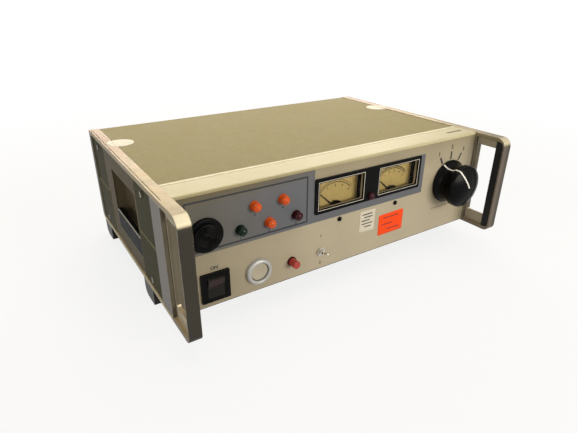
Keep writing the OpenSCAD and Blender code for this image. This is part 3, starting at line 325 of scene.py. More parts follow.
def pale_handle(g):
    """The front and inner faces of the right handle, painted paler as painted light."""
    ahead = g.below(g.axis("Y"), PANEL_Y)
    inner = g.span(g.facing("X"), 0.3, -0.3)
    first, last = (RIGHT_X - distance * MM for distance in HANDLE_EDGE)
    outer_edge = g.span(g.axis("X"), first, last, 1.0, 0.3)
    return g.product(ahead, on_right(g), inner, outer_edge), rgb("#7f7365")


def pale_web(g):
    """The recessed webs of the front handles, paler than their rims."""
    deep = g.within(g.inset(), (WEB_DROP - WEB_SLACK) * MM, (FRAME_T - WEB_DROP + WEB_SLACK) * MM)
    return g.product(g.sideways(), deep, on_handles(g)), rgb("#aaa08b")


def flange_sides(g):
    """The outer faces of the upper flanges, paler along the covers."""
    high = g.above(g.axis("Z"), TOP_Z - FLANGE_H * MM)
    return g.product(g.sideways(0.8), high), rgb("#8f8463")


def lower_sides(g):
    """The outer faces of the lower flanges, paler still."""
    low = g.below(g.axis("Z"), FOOT_Z + FLANGE_H * MM)
    behind = g.above(g.axis("Y"), PANEL_Y)
    return g.product(g.sideways(0.9), behind, low), rgb("#a69b78")


def window_back(g):
    """The rear walls of the handles' windows, painted paler than the nose as painted light where they lie in
    shade.
    """
    behind = g.above(g.axis("Y"), PANEL_Y - NOSE_FREE * MM)
    return g.product(g.span(g.facing("Y"), -0.5, -0.8), behind), rgb("#6b6455")


def right_handle_share(g, share):
    """Is the share on the right handle and 1 elsewhere."""
    ahead = g.span(g.axis("Y"), PANEL_Y + HANDLE_FADE * MM, PANEL_Y - HANDLE_FADE * MM)
    return g.span(g.product(ahead, on_right(g)), 0.0, 1.0, 1.0, share)


def faded_top(g):
    """Painted light on the upper faces of the frames, patchy, and less on the right handle."""
    patchy = g.span(g.noise(24.0, 4.0), 0.3, 0.6, 0.7, 1.0)
    upward = g.span(g.facing("Z"), 0.12, 0.5)
    return g.product(upward, patchy, right_handle_share(g, 0.5)), rgb("#bea983")


def rear_flange(g):
    """Painted light on the upper flanges, browner towards the back."""
    behind = g.span(g.axis("Y"), *FLANGE_FADE_Y, 0.0, 0.9)
    high = g.above(g.axis("Z"), (FOOT_Z + TOP_Z) / 2)
    upward = g.span(g.facing("Z"), 0.5, 0.8)
    return g.product(upward, behind, high), rgb("#926f54")


def bright_nose(g):
    """A painted highlight on the round upper corners of the handles."""
    front = g.span(g.facing("Y"), -0.05, -0.25)
    upward = g.span(g.facing("Z"), 0.2, 0.5)
    return g.product(upward, front, right_handle_share(g, 0.6)), rgb("#f2e6c6")


def pocket_inside(g):
    """The scooped inside of the hand pockets, painted paler than the band round them as painted light where
    they lie in shade.
    """
    first, last = (distance * MM for distance in POCKET_LIP)
    return g.span(g.inset(), first, last), rgb("#6f6652")


def rubbed_edges(g):
    """A painted highlight along the round outer upper edges of the carry bars."""
    outward = g.product(g.facing("X"), g.calc("SIGN", g.axis("X")))
    turning = g.within(g.facing("Z"), 0.25, 0.8)
    return g.product(turning, g.span(outward, 0.1, 0.3, 0.0, 0.9)), rgb("#b4b0a4")


def panel_grime(g):
    """A faint darker band of painted shadow on the panel under the top rail."""
    low, high = PANEL_HIGH.z - RAIL_SHADOW_H * MM, PANEL_HIGH.z
    return g.span(g.axis("Z"), low, high, 0.0, 0.7), rgb("#877b5c")


def panel_shade(g):
    """The panel darker towards its left end."""
    return g.span(g.axis("X"), *PANEL_FADE_X, 0.85, 0.0), rgb("#837961")


def overlay_shade(g):
    """The overlay warmer and darker towards its left end."""
    return g.span(g.axis("X"), *OVERLAY_FADE_X, 0.7, 0.0), rgb("#645e4a")


def overlay_top(g):
    """An olive band of painted shade on the overlay under the top rail, fading to the right."""
    high = g.span(g.axis("Z"), OVERLAY_HIGH.z - OVERLAY_SHADOW_H * MM, OVERLAY_HIGH.z, 0.0, 0.8)
    return g.product(high, g.span(g.axis("X"), *OVERLAY_SHADOW_FADE_X, 1.0, 0.15)), rgb("#6a5f42")


def rail_front(g):
    """Painted shade on the front face of the top rail, darker towards the left."""
    ahead = g.span(g.facing("Y"), -0.4, -0.8)
    return g.product(ahead, g.span(g.axis("X"), *RAIL_FADE_X, 0.9, 0.15)), rgb("#978a62")


def rail_lip(g):
    """A painted highlight on the lip behind the groove of the top rail."""
    return g.above(g.axis("Y"), PANEL_Y + RAIL_LIP_AT * MM), rgb("#e3dcbd")


# Layers of the frames, several of them painted light and highlights
FRAME_LAYERS = (
    pale_rim, pale_handle, pale_web, flange_sides, lower_sides, window_back, faded_top, rear_flange,
    bright_nose,
)

MATERIALS = {
    "frame_metal": finish("frame_metal", "#38342c", 0.42, (0.8, 0.03), mottle=0.08, wear="#9a9384", dust=0.2,
                          metal=0.1, coat=0.03, coat_rough=0.36, soft=1.6, spec=0.2, layers=FRAME_LAYERS),
    "insert_black": finish("insert_black", "#1a1918", 0.62, (0.7, 0.04), "cells", spec=0.2),
    "trim_grey": finish("trim_grey", "#6e6b69", 0.42, (0.6, 0.02), wear="#b3afa6", spec=0.12, rub=1.0),
    "side_vinyl": finish("side_vinyl", "#383625", 0.62, (0.9, 0.09), "cells", mottle=0.14, speck=0.10,
                         wear="#a8a07e", spec=0.05, rub=1.5, gaps=0.22),
    "pocket_plastic": finish("pocket_plastic", "#4f4737", 0.58, (0.8, 0.06), "cells", wear="#a89d82",
                             spec=0.08, rub=1.3, gaps=0.3, layers=(pocket_inside,)),
    "bar_plastic": finish("bar_plastic", "#111214", 0.45, (0.8, 0.04), "cells", spec=0.02, soft=0.6,
                          layers=(rubbed_edges,)),
    "screw_steel": finish("screw_steel", "#77736a", 0.42, (0.4, 0.02), metal=1.0, wear="#c9c5ba"),
    "rail_cream": finish("rail_cream", "#cec59d", 0.44, (0.7, 0.02), mottle=0.04, speck=0.03, wear="#b9ae8c",
                         dust=0.1, spec=0.2, layers=(rail_front, rail_lip)),
    "cover_olive": finish("cover_olive", "#a5996d", 0.68, (1.0, 0.08), "cells", mottle=0.06, speck=0.14,
                          dust=0.15, spec=0.10),
    "rear_paint": finish("rear_paint", "#a39983", 0.52, (0.8, 0.03), wear="#7f776a"),
    "foot_plastic": finish("foot_plastic", "#2c2b29", 0.40, (0.8, 0.05), "cells", dust=0.2, wear="#6e6b64",
                           rub=1.2, spec=0.12),
    "panel_beige": finish("panel_beige", "#b3a88f", 0.5, (0.6, 0.02), mottle=0.06, speck=0.04, wear="#8f846e",
                          layers=(panel_grime, panel_shade)),
    "overlay_grey": finish("overlay_grey", "#67696f", 0.48, (0.5, 0.015), mottle=0.06, speck=0.05, spec=0.22,
                           layers=(overlay_shade, overlay_top)),
    "black_plastic": finish("black_plastic", "#070707", 0.40, (0.7, 0.03), mottle=0.2, wear="#3a3833",
                            spec=0.06),
    "meter_glass": glass("meter_glass"),
    "dial_cream": label("dial_cream", "#cfb673"),
    "movement_metal": finish("movement_metal", "#8a8c90", 0.4, (0.5, 0.02), metal=0.9),
    "pointer_black": finish("pointer_black", "#191817", 0.45, (0.3, 0.01)),
    "lens_green": lens("lens_green", "#0a2216"),
    # The amber lenses carry a faint painted glow
    "lens_amber": lens("lens_amber", "#d2561c", 0.06),
    "lens_red": lens("lens_red", "#380910"),
    "rocker_plastic": finish("rocker_plastic", "#1f1d1b", 0.4, (0.7, 0.03), wear="#4a4641", spec=0.1),
    "rocker_red": lens("rocker_red", "#2a0e09", streak=6.0, contrast=0.15),
    "ring_chrome": finish("ring_chrome", "#b4b4b2", 0.36, (0.6, 0.02), metal=0.3, wear="#e2ded2"),
    "button_white": finish("button_white", "#b3aa94", 0.4, (0.8, 0.015), mottle=0.05, coat=0.15),
    "button_red": finish("button_red", "#a8281e", 0.36, (0.7, 0.02), coat=0.2),
    "toggle_chrome": finish("toggle_chrome", "#c9c5bb", 0.2, (0.3, 0.01), metal=1.0),
    "knob_black": finish("knob_black", "#030303", 0.28, (1.2, 0.01), mottle=0.2, wear="#171615", spec=0.07),
    "shaft_steel": finish("shaft_steel", "#b9b6b0", 0.3, (0.4, 0.01), metal=1.0),
    "wafer_phenolic": finish("wafer_phenolic", "#b79f68", 0.55, (0.6, 0.03)),
    "tray_aluminium": finish("tray_aluminium", "#b8b8b4", 0.38, (0.5, 0.02), metal=0.9, brushed=(1, 0.05, 1)),
    "transformer_iron": finish("transformer_iron", "#5b5148", 0.55, (0.5, 0.05), metal=0.4),
    "potting_black": finish("potting_black", "#2e2c2a", 0.5, (0.9, 0.05)),
    "board_green": finish("board_green", "#33603c", 0.4, (0.6, 0.02)),
    "terminal_red": finish("terminal_red", "#7a1b19", 0.38, (0.7, 0.02), wear="#93423c"),
}

SIDE_COVERS = [
    "left_front_side_cover", "right_front_side_cover", "left_rear_side_cover", "right_rear_side_cover",
]
HAND_POCKETS = ["left_hand_pocket", "right_hand_pocket"]

FINISHES = {
    "frame_metal": ["left_side_frame", "right_side_frame", "front_bottom_rail"],
    "insert_black": ["handle_inserts"],
    "trim_grey": ["side_trim_strips"],
    "side_vinyl": SIDE_COVERS,
    "pocket_plastic": HAND_POCKETS,
    "bar_plastic": ["carry_bars"],
    "screw_steel": ["side_cover_screws", "foot_screws"],
    "rail_cream": ["front_top_rail"],
    "cover_olive": ["top_cover", "bottom_cover"],
    "rear_paint": ["rear_panel"],
    "foot_plastic": ["feet"],
    "panel_beige": ["front_panel"],
    "overlay_grey": ["panel_overlay"],
    "black_plastic": [
        "meter_bezel", "meter_cases", "pivot_covers", "left_zero_screw", "right_zero_screw", "buzzer",
        "buzzer_ring", "power_switch_body", "mains_inlet", "fuse_holder", "lamp_sockets", "reset_switch_body",
        "start_switch_body",
    ],
    "meter_glass": ["meter_windows"],
    "dial_cream": ["meter_dials"],
    "movement_metal": ["meter_movements"],
    "pointer_black": ["left_meter_pointer", "right_meter_pointer"],
    "lens_green": ["green_lens"],
    "lens_amber": ["amber_lenses"],
    "lens_red": ["red_lens", "warning_lens"],
    "rocker_plastic": ["power_rocker"],
    "rocker_red": ["rocker_lens"],
    "ring_chrome": ["start_ring"],
    "button_white": ["start_button"],
    "button_red": ["reset_button"],
    "toggle_chrome": ["toggle_switch_body", "toggle_nut", "toggle_lever"],
    "knob_black": ["selector_knob"],
    "shaft_steel": ["selector_shaft"],
    "wafer_phenolic": ["rotary_switch"],
    "tray_aluminium": ["chassis_tray"],
    "transformer_iron": ["power_transformer"],
    "potting_black": ["high_voltage_transformer"],
    "board_green": ["circuit_board"],
    "terminal_red": ["output_terminals"],
}

for slot_name, node_names in FINISHES.items():
    for node_name in node_names:
        mesh = NODES[node_name].data
        mesh.materials.clear()
        mesh.materials.append(MATERIALS[slot_name])


# Softened edges on the solids, as modifiers, by width in millimetres

SOFT_EDGES = {
    0.5: ["feet", "front_bottom_rail"],
    0.35: ["meter_bezel", "power_switch_body", "mains_inlet", "rear_panel", "side_trim_strips"],
    0.25: SIDE_COVERS + HAND_POCKETS + ["top_cover", "bottom_cover", "power_rocker", "toggle_nut"],
}
WELD_DISTANCE = 0.01
SHARP_ANGLE = 40

for width, node_names in SOFT_EDGES.items():
    for node_name in node_names:
        solid = NODES[node_name]
        weld = solid.modifiers.new("weld", "WELD")
        weld.merge_threshold = WELD_DISTANCE * MM
        bevel = solid.modifiers.new("bevel", "BEVEL")
        bevel.limit_method = "ANGLE"
        bevel.angle_limit = math.radians(SHARP_ANGLE)
        bevel.width = width * MM
        bevel.segments = 3
        bevel.harden_normals = True


# Pieces added to the solids. Sizes in millimetres.

# How far print stands out of a face and reaches into it
PROUD = 0.06
SUNK = 0.05
# Share of a numeral's size by which its strokes are thickened
BOLD = 0.03


def new_piece(name, bm, body, material, smooth=False):
    mesh = bpy.data.meshes.new(name)
    bmesh.ops.recalc_face_normals(bm, faces=bm.faces)
    bm.to_mesh(mesh)
    bm.free()
    for face in mesh.polygons:
        face.use_smooth = smooth
    mesh.materials.append(material)
    made = bpy.data.objects.new(name, mesh)
    bpy.context.scene.collection.objects.link(made)
    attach(made, body)


def on_front(x, z, y, out=0.0):
    """A point on a face at depth y, from the left outer face and the cabinet's foot."""
    return Vector((LEFT_X + x * MM, y - out * MM, FOOT_Z + z * MM))


def prism(bm, outline, y):
    """A printed patch with a given outline, slightly proud of the face at depth y."""
    front = [bm.verts.new(on_front(x, z, y, PROUD)) for x, z in outline]
    back = [bm.verts.new(on_front(x, z, y, -SUNK)) for x, z in outline]
    bm.faces.new(front)
    bm.faces.new(back[::-1])
    for i in range(len(outline)):
        j = (i + 1) % len(outline)
        bm.faces.new((front[i], back[i], back[j], front[j]))


def line(bm, start, end, width, y):
    a, b = Vector(start), Vector(end)
    side = (b - a).orthogonal().normalized() * width / 2
    prism(bm, [tuple(a + side), tuple(b + side), tuple(b - side), tuple(a - side)], y)


def ring(bm, low, high, width, y):
    """A rectangular frame line whose outer edge runs from low to high."""
    (x0, z0), (x1, z1) = low, high
    prism(bm, [(x0, z0), (x1, z0), (x1, z0 + width), (x0, z0 + width)], y)
    prism(bm, [(x0, z1 - width), (x1, z1 - width), (x1, z1), (x0, z1)], y)
    for a, b in ((x0, x0 + width), (x1 - width, x1)):
        prism(bm, [(a, z0 + width), (b, z0 + width), (b, z1 - width), (a, z1 - width)], y)


def polar(middle, radius, degrees):
    """A point at an angle to the right of straight up."""
    angle = math.radians(degrees)
    return middle[0] + radius * math.sin(angle), middle[1] + radius * math.cos(angle)


def arc(bm, middle, radius, width, half_turn, y, steps=40):
    turns = [half_turn * (2 * i / steps - 1) for i in range(steps + 1)]
    inner, outer = radius - width / 2, radius + width / 2
    for a, b in zip(turns, turns[1:]):
        prism(bm, [polar(middle, inner, a), polar(middle, outer, a),
                   polar(middle, outer, b), polar(middle, inner, b)], y)


def numeral(bm, words, middle, size, y, turn=0.0):
    """Plain numerals in Blender's own face, centred on a point."""
    curve = bpy.data.curves.new("numeral", "FONT")
    curve.body = words
    curve.size = size * MM
    curve.align_x = "CENTER"
    curve.align_y = "CENTER"
    curve.extrude = (PROUD + SUNK) / 2 * MM
    curve.resolution_u = 3
    curve.offset = size * BOLD * MM
    carrier = bpy.data.objects.new("numeral", curve)
    bpy.context.scene.collection.objects.link(carrier)
    shape = carrier.to_mesh()
    upright = Matrix.Rotation(math.pi / 2, 4, "X") @ Matrix.Rotation(-math.radians(turn), 4, "Z")
    shape.transform(Matrix.Translation(on_front(*middle, y, (PROUD - SUNK) / 2)) @ upright)
    bm.from_mesh(shape)
    carrier.to_mesh_clear()
    bpy.data.objects.remove(carrier)
    bpy.data.curves.remove(curve)


INK = ink("print_ink", "#0d0c0b")
INK_BLUE = ink("print_blue", "#0d0f15")
PALE_INK = ink("print_pale", "#d9d5c6", 0.45, mottle=0.06)
WHITE_PAINT = ink("white_paint", "#f0ede4", 0.45, mottle=0.04, speck=0.03)

# Frame line printed on the overlay
FRAME_LINE_LOW, FRAME_LINE_HIGH = (20.5, 64.0), (152.7, 115.5)
FRAME_LINE_W = 1.8
bm = bmesh.new()
ring(bm, FRAME_LINE_LOW, FRAME_LINE_HIGH, FRAME_LINE_W, OVERLAY_Y)
new_piece("overlay_frame_line", bm, "cabinet", INK_BLUE)

# Pale lines round the meter windows
METER_X = (196.0, 279.75)
METER_Z = (74.5, 105.5)
METER_HALF = 30.5
METER_LINE_OUT, METER_LINE_W = 0.7, 0.55
bm = bmesh.new()
for x in METER_X:
    low = (x - METER_HALF - METER_LINE_OUT, METER_Z[0] - METER_LINE_OUT)
    high = (x + METER_HALF + METER_LINE_OUT, METER_Z[1] + METER_LINE_OUT)
    ring(bm, low, high, METER_LINE_W, BEZEL_Y)
new_piece("meter_frame_lines", bm, "cabinet", PALE_INK)

# Meter scales
PIVOT_Z = 68.5
SCALE_R, SCALE_W, SCALE_TURN = 28.2, 0.55, 48
OUTER_GAP = 2.6
# Divisions and the width of the outer arc, for the left and the right meter
SCALES = ((40, 0.35), (50, 1.1))
LONG_EVERY, MIDDLE_EVERY = 10, 5
LONG_TICK, MIDDLE_TICK, SHORT_TICK = 2.6, 1.9, 1.3
TICK_W = 0.34
FIGURE_IN, FIGURE_H = 3.4, 3.6
bm = bmesh.new()
for x, (divisions, outer_w) in zip(METER_X, SCALES):
    middle = (x, PIVOT_Z)
    arc(bm, middle, SCALE_R, SCALE_W, SCALE_TURN, DIAL_Y)
    arc(bm, middle, SCALE_R + OUTER_GAP, outer_w, SCALE_TURN, DIAL_Y)
    turns = [SCALE_TURN * (2 * i / divisions - 1) for i in range(divisions + 1)]
    for i, turn in enumerate(turns):
        tall = LONG_TICK if i % LONG_EVERY == 0 else MIDDLE_TICK if i % MIDDLE_EVERY == 0 else SHORT_TICK
        line(bm, polar(middle, SCALE_R, turn), polar(middle, SCALE_R + tall, turn), TICK_W, DIAL_Y)
    for figure, turn in enumerate(turns[::LONG_EVERY]):
        numeral(bm, str(figure), polar(middle, SCALE_R - FIGURE_IN, turn), FIGURE_H, DIAL_Y, turn)
new_piece("meter_scales", bm, "cabinet", INK)

# Marks round the selector, the toggle and the power switch
SELECTOR = (370.5, 66.2)
SELECTOR_TURNS = (-30, 0, 30)
MARK_FROM, MARK_TO, MARK_W = 28.8, 38.8, 2.5
NUMBER_R, NUMBER_H = 44.4, 7.0
RULE_Z, RULE_X, RULE_W = 32.5, (347.0, 381.0), 0.6
TOGGLE_X, TOGGLE_ZS, TOGGLE_H = 171.4, (42.3, 8.8), 4.8
POWER_AT, POWER_H = (45.1, 43.6), 5.0
bm = bmesh.new()
for number, turn in enumerate(SELECTOR_TURNS, 1):
    line(bm, polar(SELECTOR, MARK_FROM, turn), polar(SELECTOR, MARK_TO, turn), MARK_W, PANEL_Y)
    numeral(bm, str(number), polar(SELECTOR, NUMBER_R, turn), NUMBER_H, PANEL_Y)
line(bm, (RULE_X[0], RULE_Z), (RULE_X[1], RULE_Z), RULE_W, PANEL_Y)
for number, z in enumerate(TOGGLE_ZS, 1):
    numeral(bm, str(number), (TOGGLE_X, z), TOGGLE_H, PANEL_Y)
numeral(bm, "ON", POWER_AT, POWER_H, PANEL_Y)
new_piece("panel_marks", bm, "cabinet", INK)

# A dark sheet of painted shadow in the slot of the top rail, with round ends and a slight camber
RAIL_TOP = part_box("front_top_rail")[1].z
SLOT_X = (377.9, 405.4)
SLOT_Y, SLOT_W, SLOT_DEEP = 17.5, 3.4, 1.6
SLOT_GAP = 0.1
SLOT_SIDES = 24
SLOT_EDGE_DOWN, SLOT_TOP_DOWN, SLOT_TOP_SHARE = 0.35, 0.25, 0.8
# Share of the width and height above the slot's floor, from the bottom up
SLOT_RIMS = ((1.0, -SUNK), (1.0, SLOT_DEEP - SLOT_EDGE_DOWN), (SLOT_TOP_SHARE, SLOT_DEEP - SLOT_TOP_DOWN))
SLOT_SHADOW_PAINT = ink("slot_paint", "#1d1b17", 0.6)
bm = bmesh.new()
half = SLOT_W / 2 - SLOT_GAP
rims = []
for share, lift in SLOT_RIMS:
    rim = []
    for i in range(SLOT_SIDES):
        angle = 2 * math.pi * (i + 0.5) / SLOT_SIDES
        end = SLOT_X[1] - SLOT_W / 2 if math.cos(angle) > 0 else SLOT_X[0] + SLOT_W / 2
        x = LEFT_X + (end + half * share * math.cos(angle)) * MM
        y = PANEL_Y + (SLOT_Y + half * share * math.sin(angle)) * MM
        rim.append(bm.verts.new((x, y, RAIL_TOP + (lift - SLOT_DEEP) * MM)))
    rims.append(rim)
bm.faces.new(rims[0][::-1])
bm.faces.new(rims[-1])
for low, high in zip(rims, rims[1:]):
    for i in range(SLOT_SIDES):
        j = (i + 1) % SLOT_SIDES
        bm.faces.new((low[i], low[j], high[j], high[i]))
new_piece("rail_slot_shadow", bm, "cabinet", SLOT_SHADOW_PAINT)

# A plain number under each lamp
LAMPS = ((74.5, 76.6), (90.4, 97.8), (106.3, 76.6), (122.2, 97.8), (138.1, 76.6))
LAMP_NUMBER_DOWN, LAMP_NUMBER_H = 9.2, 4.4
bm = bmesh.new()
for number, (x, z) in enumerate(LAMPS, 1):
    numeral(bm, str(number), (x, z - LAMP_NUMBER_DOWN), LAMP_NUMBER_H, OVERLAY_Y)
new_piece("lamp_numbers", bm, "cabinet", INK_BLUE)


# Index line that follows the selector's outline from its skirt to the middle of its face

KNOB_LOW, KNOB_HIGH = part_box("selector_knob")
KNOB_FACE = KNOB_LOW.y
KNOB_BACK = KNOB_HIGH.y
KNOB_X = (KNOB_LOW.x + KNOB_HIGH.x) / 2
KNOB_Z = (KNOB_LOW.z + KNOB_HIGH.z) / 2
SKIRT_R, SKIRT_T, SKIRT_EDGE = 27.6, 3.0, 1.0
GRIP_R, GRIP_BAND, KNOB_EDGE = 26.2, 7.0, 2.5
WAIST_DEEP = 3.2
CROWN_H = 7.6
KNOB_H = (KNOB_BACK - KNOB_FACE) / MM - CROWN_H
WAIST_H = KNOB_H - SKIRT_T - GRIP_BAND
WAIST_R = (WAIST_H ** 2 / 4 + WAIST_DEEP ** 2) / (2 * WAIST_DEEP)
CROWN_R = (GRIP_R ** 2 + CROWN_H ** 2) / (2 * CROWN_H)
INDEX_START = 1.0
INDEX_W = 1.8
WAIST_STEPS, EDGE_STEPS, CROWN_STEPS = 12, 6, 12
# The line stops just short of the crown's middle
CROWN_END = 12.5


def knob_outline():
    """Points of the knob's profile as distance from the axis and height above its back."""
    points = [(SKIRT_R, INDEX_START), (SKIRT_R, SKIRT_T - SKIRT_EDGE), (SKIRT_R - SKIRT_EDGE, SKIRT_T)]
    for i in range(WAIST_STEPS + 1):
        height = SKIRT_T + WAIST_H * i / WAIST_STEPS
        sag = WAIST_R - math.sqrt(max(0.0, WAIST_R ** 2 - (height - SKIRT_T - WAIST_H / 2) ** 2))
        points.append((GRIP_R - WAIST_DEEP + sag, height))
    crown_z = KNOB_H + CROWN_H - CROWN_R
    edge_x = GRIP_R - KNOB_EDGE
    edge_rise = math.sqrt((CROWN_R - KNOB_EDGE) ** 2 - edge_x ** 2)
    lean = math.atan2(edge_x, edge_rise)
    for i in range(EDGE_STEPS + 1):
        angle = math.pi / 2 + (lean - math.pi / 2) * i / EDGE_STEPS
        across, rise = KNOB_EDGE * math.sin(angle), KNOB_EDGE * math.cos(angle)
        points.append((edge_x + across, crown_z + edge_rise + rise))
    for i in range(1, CROWN_STEPS + 1):
        angle = lean * (1 - i / CROWN_END)
        points.append((CROWN_R * math.sin(angle), crown_z + CROWN_R * math.cos(angle)))
    return points


def index_line(turn, width):
    bm = bmesh.new()
    axis = Matrix.Translation((KNOB_X, KNOB_BACK, KNOB_Z)) @ Matrix.Rotation(math.radians(turn), 4, "Y")
    rows = []
    points = knob_outline()
    for i, (radius, height) in enumerate(points):
        before = Vector(points[max(0, i - 1)])
        after = Vector(points[min(len(points) - 1, i + 1)])
        along = (after - before).normalized()
        out = Vector((along.y, -along.x))
        row = []
        for lift, side in ((-SUNK, -1), (PROUD, -1), (PROUD, 1), (-SUNK, 1)):
            r, h = radius + out.x * lift, height + out.y * lift
            row.append(bm.verts.new(axis @ Vector((side * width / 2 * MM, -h * MM, r * MM))))
        rows.append(row)
    for a, b in zip(rows, rows[1:]):
        for i in range(4):
            j = (i + 1) % 4
            bm.faces.new((a[i], a[j], b[j], b[i]))
    bm.faces.new(rows[0])
    bm.faces.new(rows[-1][::-1])
    return bm


bm = index_line(SELECTOR_TURNS[0], INDEX_W)
new_piece("selector_index_line", bm, "selector", WHITE_PAINT)


# Blank labels and seals

STICKER_T = 0.12
STICKER_STEPS = 14
# Share of a label's half size from which its corners are cut, and how sharply
CORNER_FROM, CORNER_CUT = 0.93, 6
# Share of the way to its far corner from which it lifts, and how steeply
CURL_FROM, CURL = 0.55, 1.0


def sticker(name, middle, size, tilt, material):
    """A blank label with round corners, its far corner slightly lifted."""
    w, h = size
    count = STICKER_STEPS
    bm = bmesh.new()
    turn = Matrix.Rotation(math.radians(tilt), 2)
    grid = {}
    for back in (0, 1):
        for i in range(count + 1):
            for j in range(count + 1):
                u, v = i / count * 2 - 1, j / count * 2 - 1
                cut = max(0.0, abs(u) - CORNER_FROM) * max(0.0, abs(v) - CORNER_FROM) * CORNER_CUT
                flat = turn @ Vector((u * w / 2 * (1 - cut), v * h / 2 * (1 - cut)))
                out = -SUNK if back else STICKER_T + CURL * max(0.0, (u + v) / 2 - CURL_FROM) ** 2
                at = on_front(middle[0] + flat.x, middle[1] + flat.y, PANEL_Y, out)
                grid[back, i, j] = bm.verts.new(at)
    for i in range(count):
        for j in range(count):
            corners = ((i, j), (i + 1, j), (i + 1, j + 1), (i, j + 1))
            for back in (0, 1):
                bm.faces.new([grid[back, a, b] for a, b in corners])
    rim = [(i, 0) for i in range(count)] + [(count, j) for j in range(count)]
    rim += [(i, count) for i in range(count, 0, -1)] + [(0, j) for j in range(count, 0, -1)]
    for a, b in zip(rim, rim[1:] + rim[:1]):
        bm.faces.new((grid[(0, *a)], grid[(0, *b)], grid[(1, *b)], grid[(1, *a)]))
    new_piece(name, bm, "cabinet", material, smooth=True)


WHITE_LABEL = label("white_label", "#d8d1bf")
ORANGE_LABEL = label("orange_label", "#ff4c10")
SEAL_PAPER = label("seal_paper", "#e6e1cd")
LABEL_INK = ink("label_ink", "#2b2620", 0.6, mottle=0.2)
LABEL_RED = ink("label_red", "#7d2410", 0.6, mottle=0.2)
WHITE_AT, WHITE_SIZE, WHITE_TILT = (237.7, 43.3), (23.0, 27.4), -1.0
ORANGE_AT, ORANGE_SIZE, ORANGE_TILT = (276.0, 32.0), (39.5, 27.0), 1.0
sticker("white_label", WHITE_AT, WHITE_SIZE, WHITE_TILT, WHITE_LABEL)
sticker("orange_label", ORANGE_AT, ORANGE_SIZE, ORANGE_TILT, ORANGE_LABEL)

# Plain ruled lines on the labels: height, left end and right end from the label's middle
LABEL_RULE_W = 1.3
WHITE_RULES = ((9.0, -8, 7), (5.2, -5, 8), (1.2, -8.5, 4), (-2.8, -8, 8), (-6.8, -4, 6))
ORANGE_RULES = ((8.0, -12, 12), (-0.5, -14, 3), (-7.5, -6, 14))


def ruled(name, middle, rows, material):
    bm = bmesh.new()
    face = PANEL_Y - STICKER_T * MM
    for z, x0, x1 in rows:
        height = middle[1] + z
        line(bm, (middle[0] + x0, height), (middle[0] + x1, height), LABEL_RULE_W, face)
    new_piece(name, bm, "cabinet", material)


ruled("white_label_rules", WHITE_AT, WHITE_RULES, LABEL_INK)
ruled("orange_label_rules", ORANGE_AT, ORANGE_RULES, LABEL_RED)

COVER_LOW, COVER_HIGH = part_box("top_cover")
SEAL_T = 0.045
SEAL_R = 15.5
SEAL_RINGS, SEAL_SPOKES = 8, 48
# Half the width over which a seal steps from the flange to the cover
SEAL_STEP = 1.2
# Places from the left outer face and behind the panel's face
LEFT_SEAL_AT, RIGHT_SEAL_AT = (19.0, 193.0), (408.0, 180.0)


def seal(name, place, joint_x):
    """A round paper seal that steps down from the frame's flange to the cover."""
    bm = bmesh.new()
    middle = (LEFT_X + place[0] * MM, PANEL_Y + place[1] * MM)
    inward = 1 if middle[0] < 0 else -1
    faces = []
    for lift in (SEAL_T, -SUNK):
        rings = []
        for k in range(1, SEAL_RINGS + 1):
            radius = SEAL_R * MM * k / SEAL_RINGS
            row = []
            for s in range(SEAL_SPOKES):
                angle = 2 * math.pi * s / SEAL_SPOKES
                x = middle[0] + radius * math.cos(angle)
                y = middle[1] + radius * math.sin(angle)
                step = (inward * (x - joint_x) / MM + SEAL_STEP) / (2 * SEAL_STEP)
                step = min(1.0, max(0.0, step))
                step = step * step * (3 - 2 * step)
                row.append(bm.verts.new((x, y, TOP_Z + (COVER_HIGH.z - TOP_Z) * step + lift * MM)))
            rings.append(row)
        faces.append(rings)
    strips = [pair for rings in faces for pair in zip(rings, rings[1:])]
    strips.append((faces[0][-1], faces[1][-1]))
    for rings in faces:
        bm.faces.new(rings[0])
    for a, b in strips:
        for s in range(SEAL_SPOKES):
            t = (s + 1) % SEAL_SPOKES
            bm.faces.new((a[s], a[t], b[t], b[s]))
    new_piece(name, bm, "cabinet", SEAL_PAPER, smooth=True)


seal("left_seal", LEFT_SEAL_AT, COVER_LOW.x)
seal("right_seal", RIGHT_SEAL_AT, COVER_HIGH.x)


# Floor, light and camera. Metres and watts.

WHITE = (1, 1, 1, 1)
AMBIENT, AMBIENT_STRENGTH = (1.0, 0.97, 0.92, 1.0), 0.22
FLOOR_HALF = 30
# Size of the floor's faint patches, in millimetres
FLOOR_PATCH = 900.0
# Distances over which the floor's shadow gives way to plain white, and the white's share there
FLOOR_FADE = (0.45, 1.0)
FLOOR_SHARE = (0.82, 1.0)

floor_mesh = bpy.data.meshes.new("floor")
floor_corners = [(x * FLOOR_HALF, y * FLOOR_HALF, 0) for x, y in ((-1, -1), (1, -1), (1, 1), (-1, 1))]
floor_mesh.from_pydata(floor_corners, [], [(0, 1, 2, 3)])
floor = bpy.data.objects.new("floor", floor_mesh)
bpy.context.scene.collection.objects.link(floor)
g = new_graph("floor")
seen = g.seen()
paper = g.mix(g.span(g.noise(FLOOR_PATCH), *NOISE_MIDDLE), rgb("#f0efed"), rgb("#f6f5f3"))
paper = g.mix(seen, rgb("#b9b6b0"), paper)
plain = g.add("ShaderNodeBsdfDiffuse", {"Color": paper})
bright = g.add("ShaderNodeEmission", {"Color": WHITE, "Strength": 1.0})
away = g.add("ShaderNodeVectorMath", {0: g.coords}, operation="LENGTH").outputs["Value"]
share = g.product(seen, g.span(away, *FLOOR_FADE, *FLOOR_SHARE))
lit = g.add("ShaderNodeMixShader", {0: share, 1: plain.outputs[0], 2: bright.outputs[0]})
g.add("ShaderNodeOutputMaterial", {"Surface": lit.outputs[0]})
floor_mesh.materials.append(g.owner)

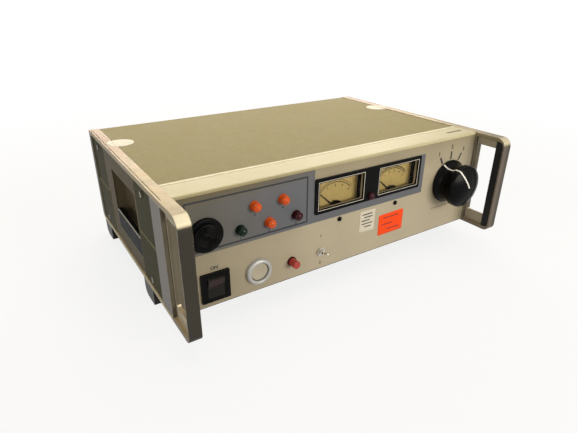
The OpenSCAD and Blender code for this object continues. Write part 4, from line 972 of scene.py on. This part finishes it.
world = bpy.data.worlds.new("studio")
bpy.context.scene.world = world
g = Graph(world)
ambient = g.add("ShaderNodeBackground", {"Color": AMBIENT, "Strength": AMBIENT_STRENGTH})
white = g.add("ShaderNodeBackground", {"Color": WHITE, "Strength": 1.0})
choice = g.add("ShaderNodeMixShader", {0: g.seen(), 1: ambient.outputs[0], 2: white.outputs[0]})
g.add("ShaderNodeOutputWorld", {"Surface": choice.outputs[0]})

WARM = (1.0, 0.95, 0.86)
SUNNY = (1.0, 0.89, 0.70)
# Place, target, size, power and colour
AREA_LIGHTS = {
    "overhead": ((0.1, 0.0, 1.5), (0, 0.0, 0.1), (1.6, 1.2), 8.0, WARM),
    "window": ((0.65, 1.5, 0.72), (-0.05, 0, 0.12), (2.0, 0.7), 23.5, SUNNY),
    "key": ((0.45, -1.6, 0.5), (0.02, -0.1, 0.05), (0.8, 0.6), 18.0, WARM),
    "fill": ((-1.6, -0.2, 0.5), (-0.1, 0, 0.08), (1.2, 0.8), 9.5, WARM),
}

for name, (place, target, size, power, colour) in AREA_LIGHTS.items():
    lamp = bpy.data.lights.new(name, "AREA")
    lamp.shape = "RECTANGLE"
    lamp.size, lamp.size_y = size
    lamp.energy = power
    lamp.color = colour
    holder = bpy.data.objects.new(name, lamp)
    bpy.context.scene.collection.objects.link(holder)
    holder.location = place
    holder.rotation_mode = "QUATERNION"
    holder.rotation_quaternion = (Vector(target) - Vector(place)).to_track_quat("-Z", "Y")

# The camera fitted to the photograph
IMAGE_W = 577
FOCAL_PX = 460.5
SENSOR_W = 36.0
CLIP_START = 0.01
CAMERA_AT = Vector((-0.31175, -0.470, 0.299))
# Azimuth, elevation and roll in degrees
CAMERA_TURNS = (-32.83, 25.35, 0.21)
azimuth, elevation, roll = (math.radians(angle) for angle in CAMERA_TURNS)
back = Vector((
    math.sin(azimuth) * math.cos(elevation),
    -math.cos(azimuth) * math.cos(elevation),
    math.sin(elevation),
))
level = Vector((0, 0, 1)).cross(back).normalized()
rise = back.cross(level)
right = math.cos(roll) * level + math.sin(roll) * rise
up = -math.sin(roll) * level + math.cos(roll) * rise
camera_data = bpy.data.cameras.new("camera")
camera_data.sensor_width = SENSOR_W
camera_data.lens = SENSOR_W * FOCAL_PX / IMAGE_W
camera_data.clip_start = CLIP_START
camera = bpy.data.objects.new("camera", camera_data)
bpy.context.scene.collection.objects.link(camera)
camera.matrix_world = Matrix.Translation(CAMERA_AT) @ Matrix((right, up, back)).transposed().to_4x4()
bpy.context.scene.camera = camera
bpy.context.scene.view_settings.view_transform = "Standard"
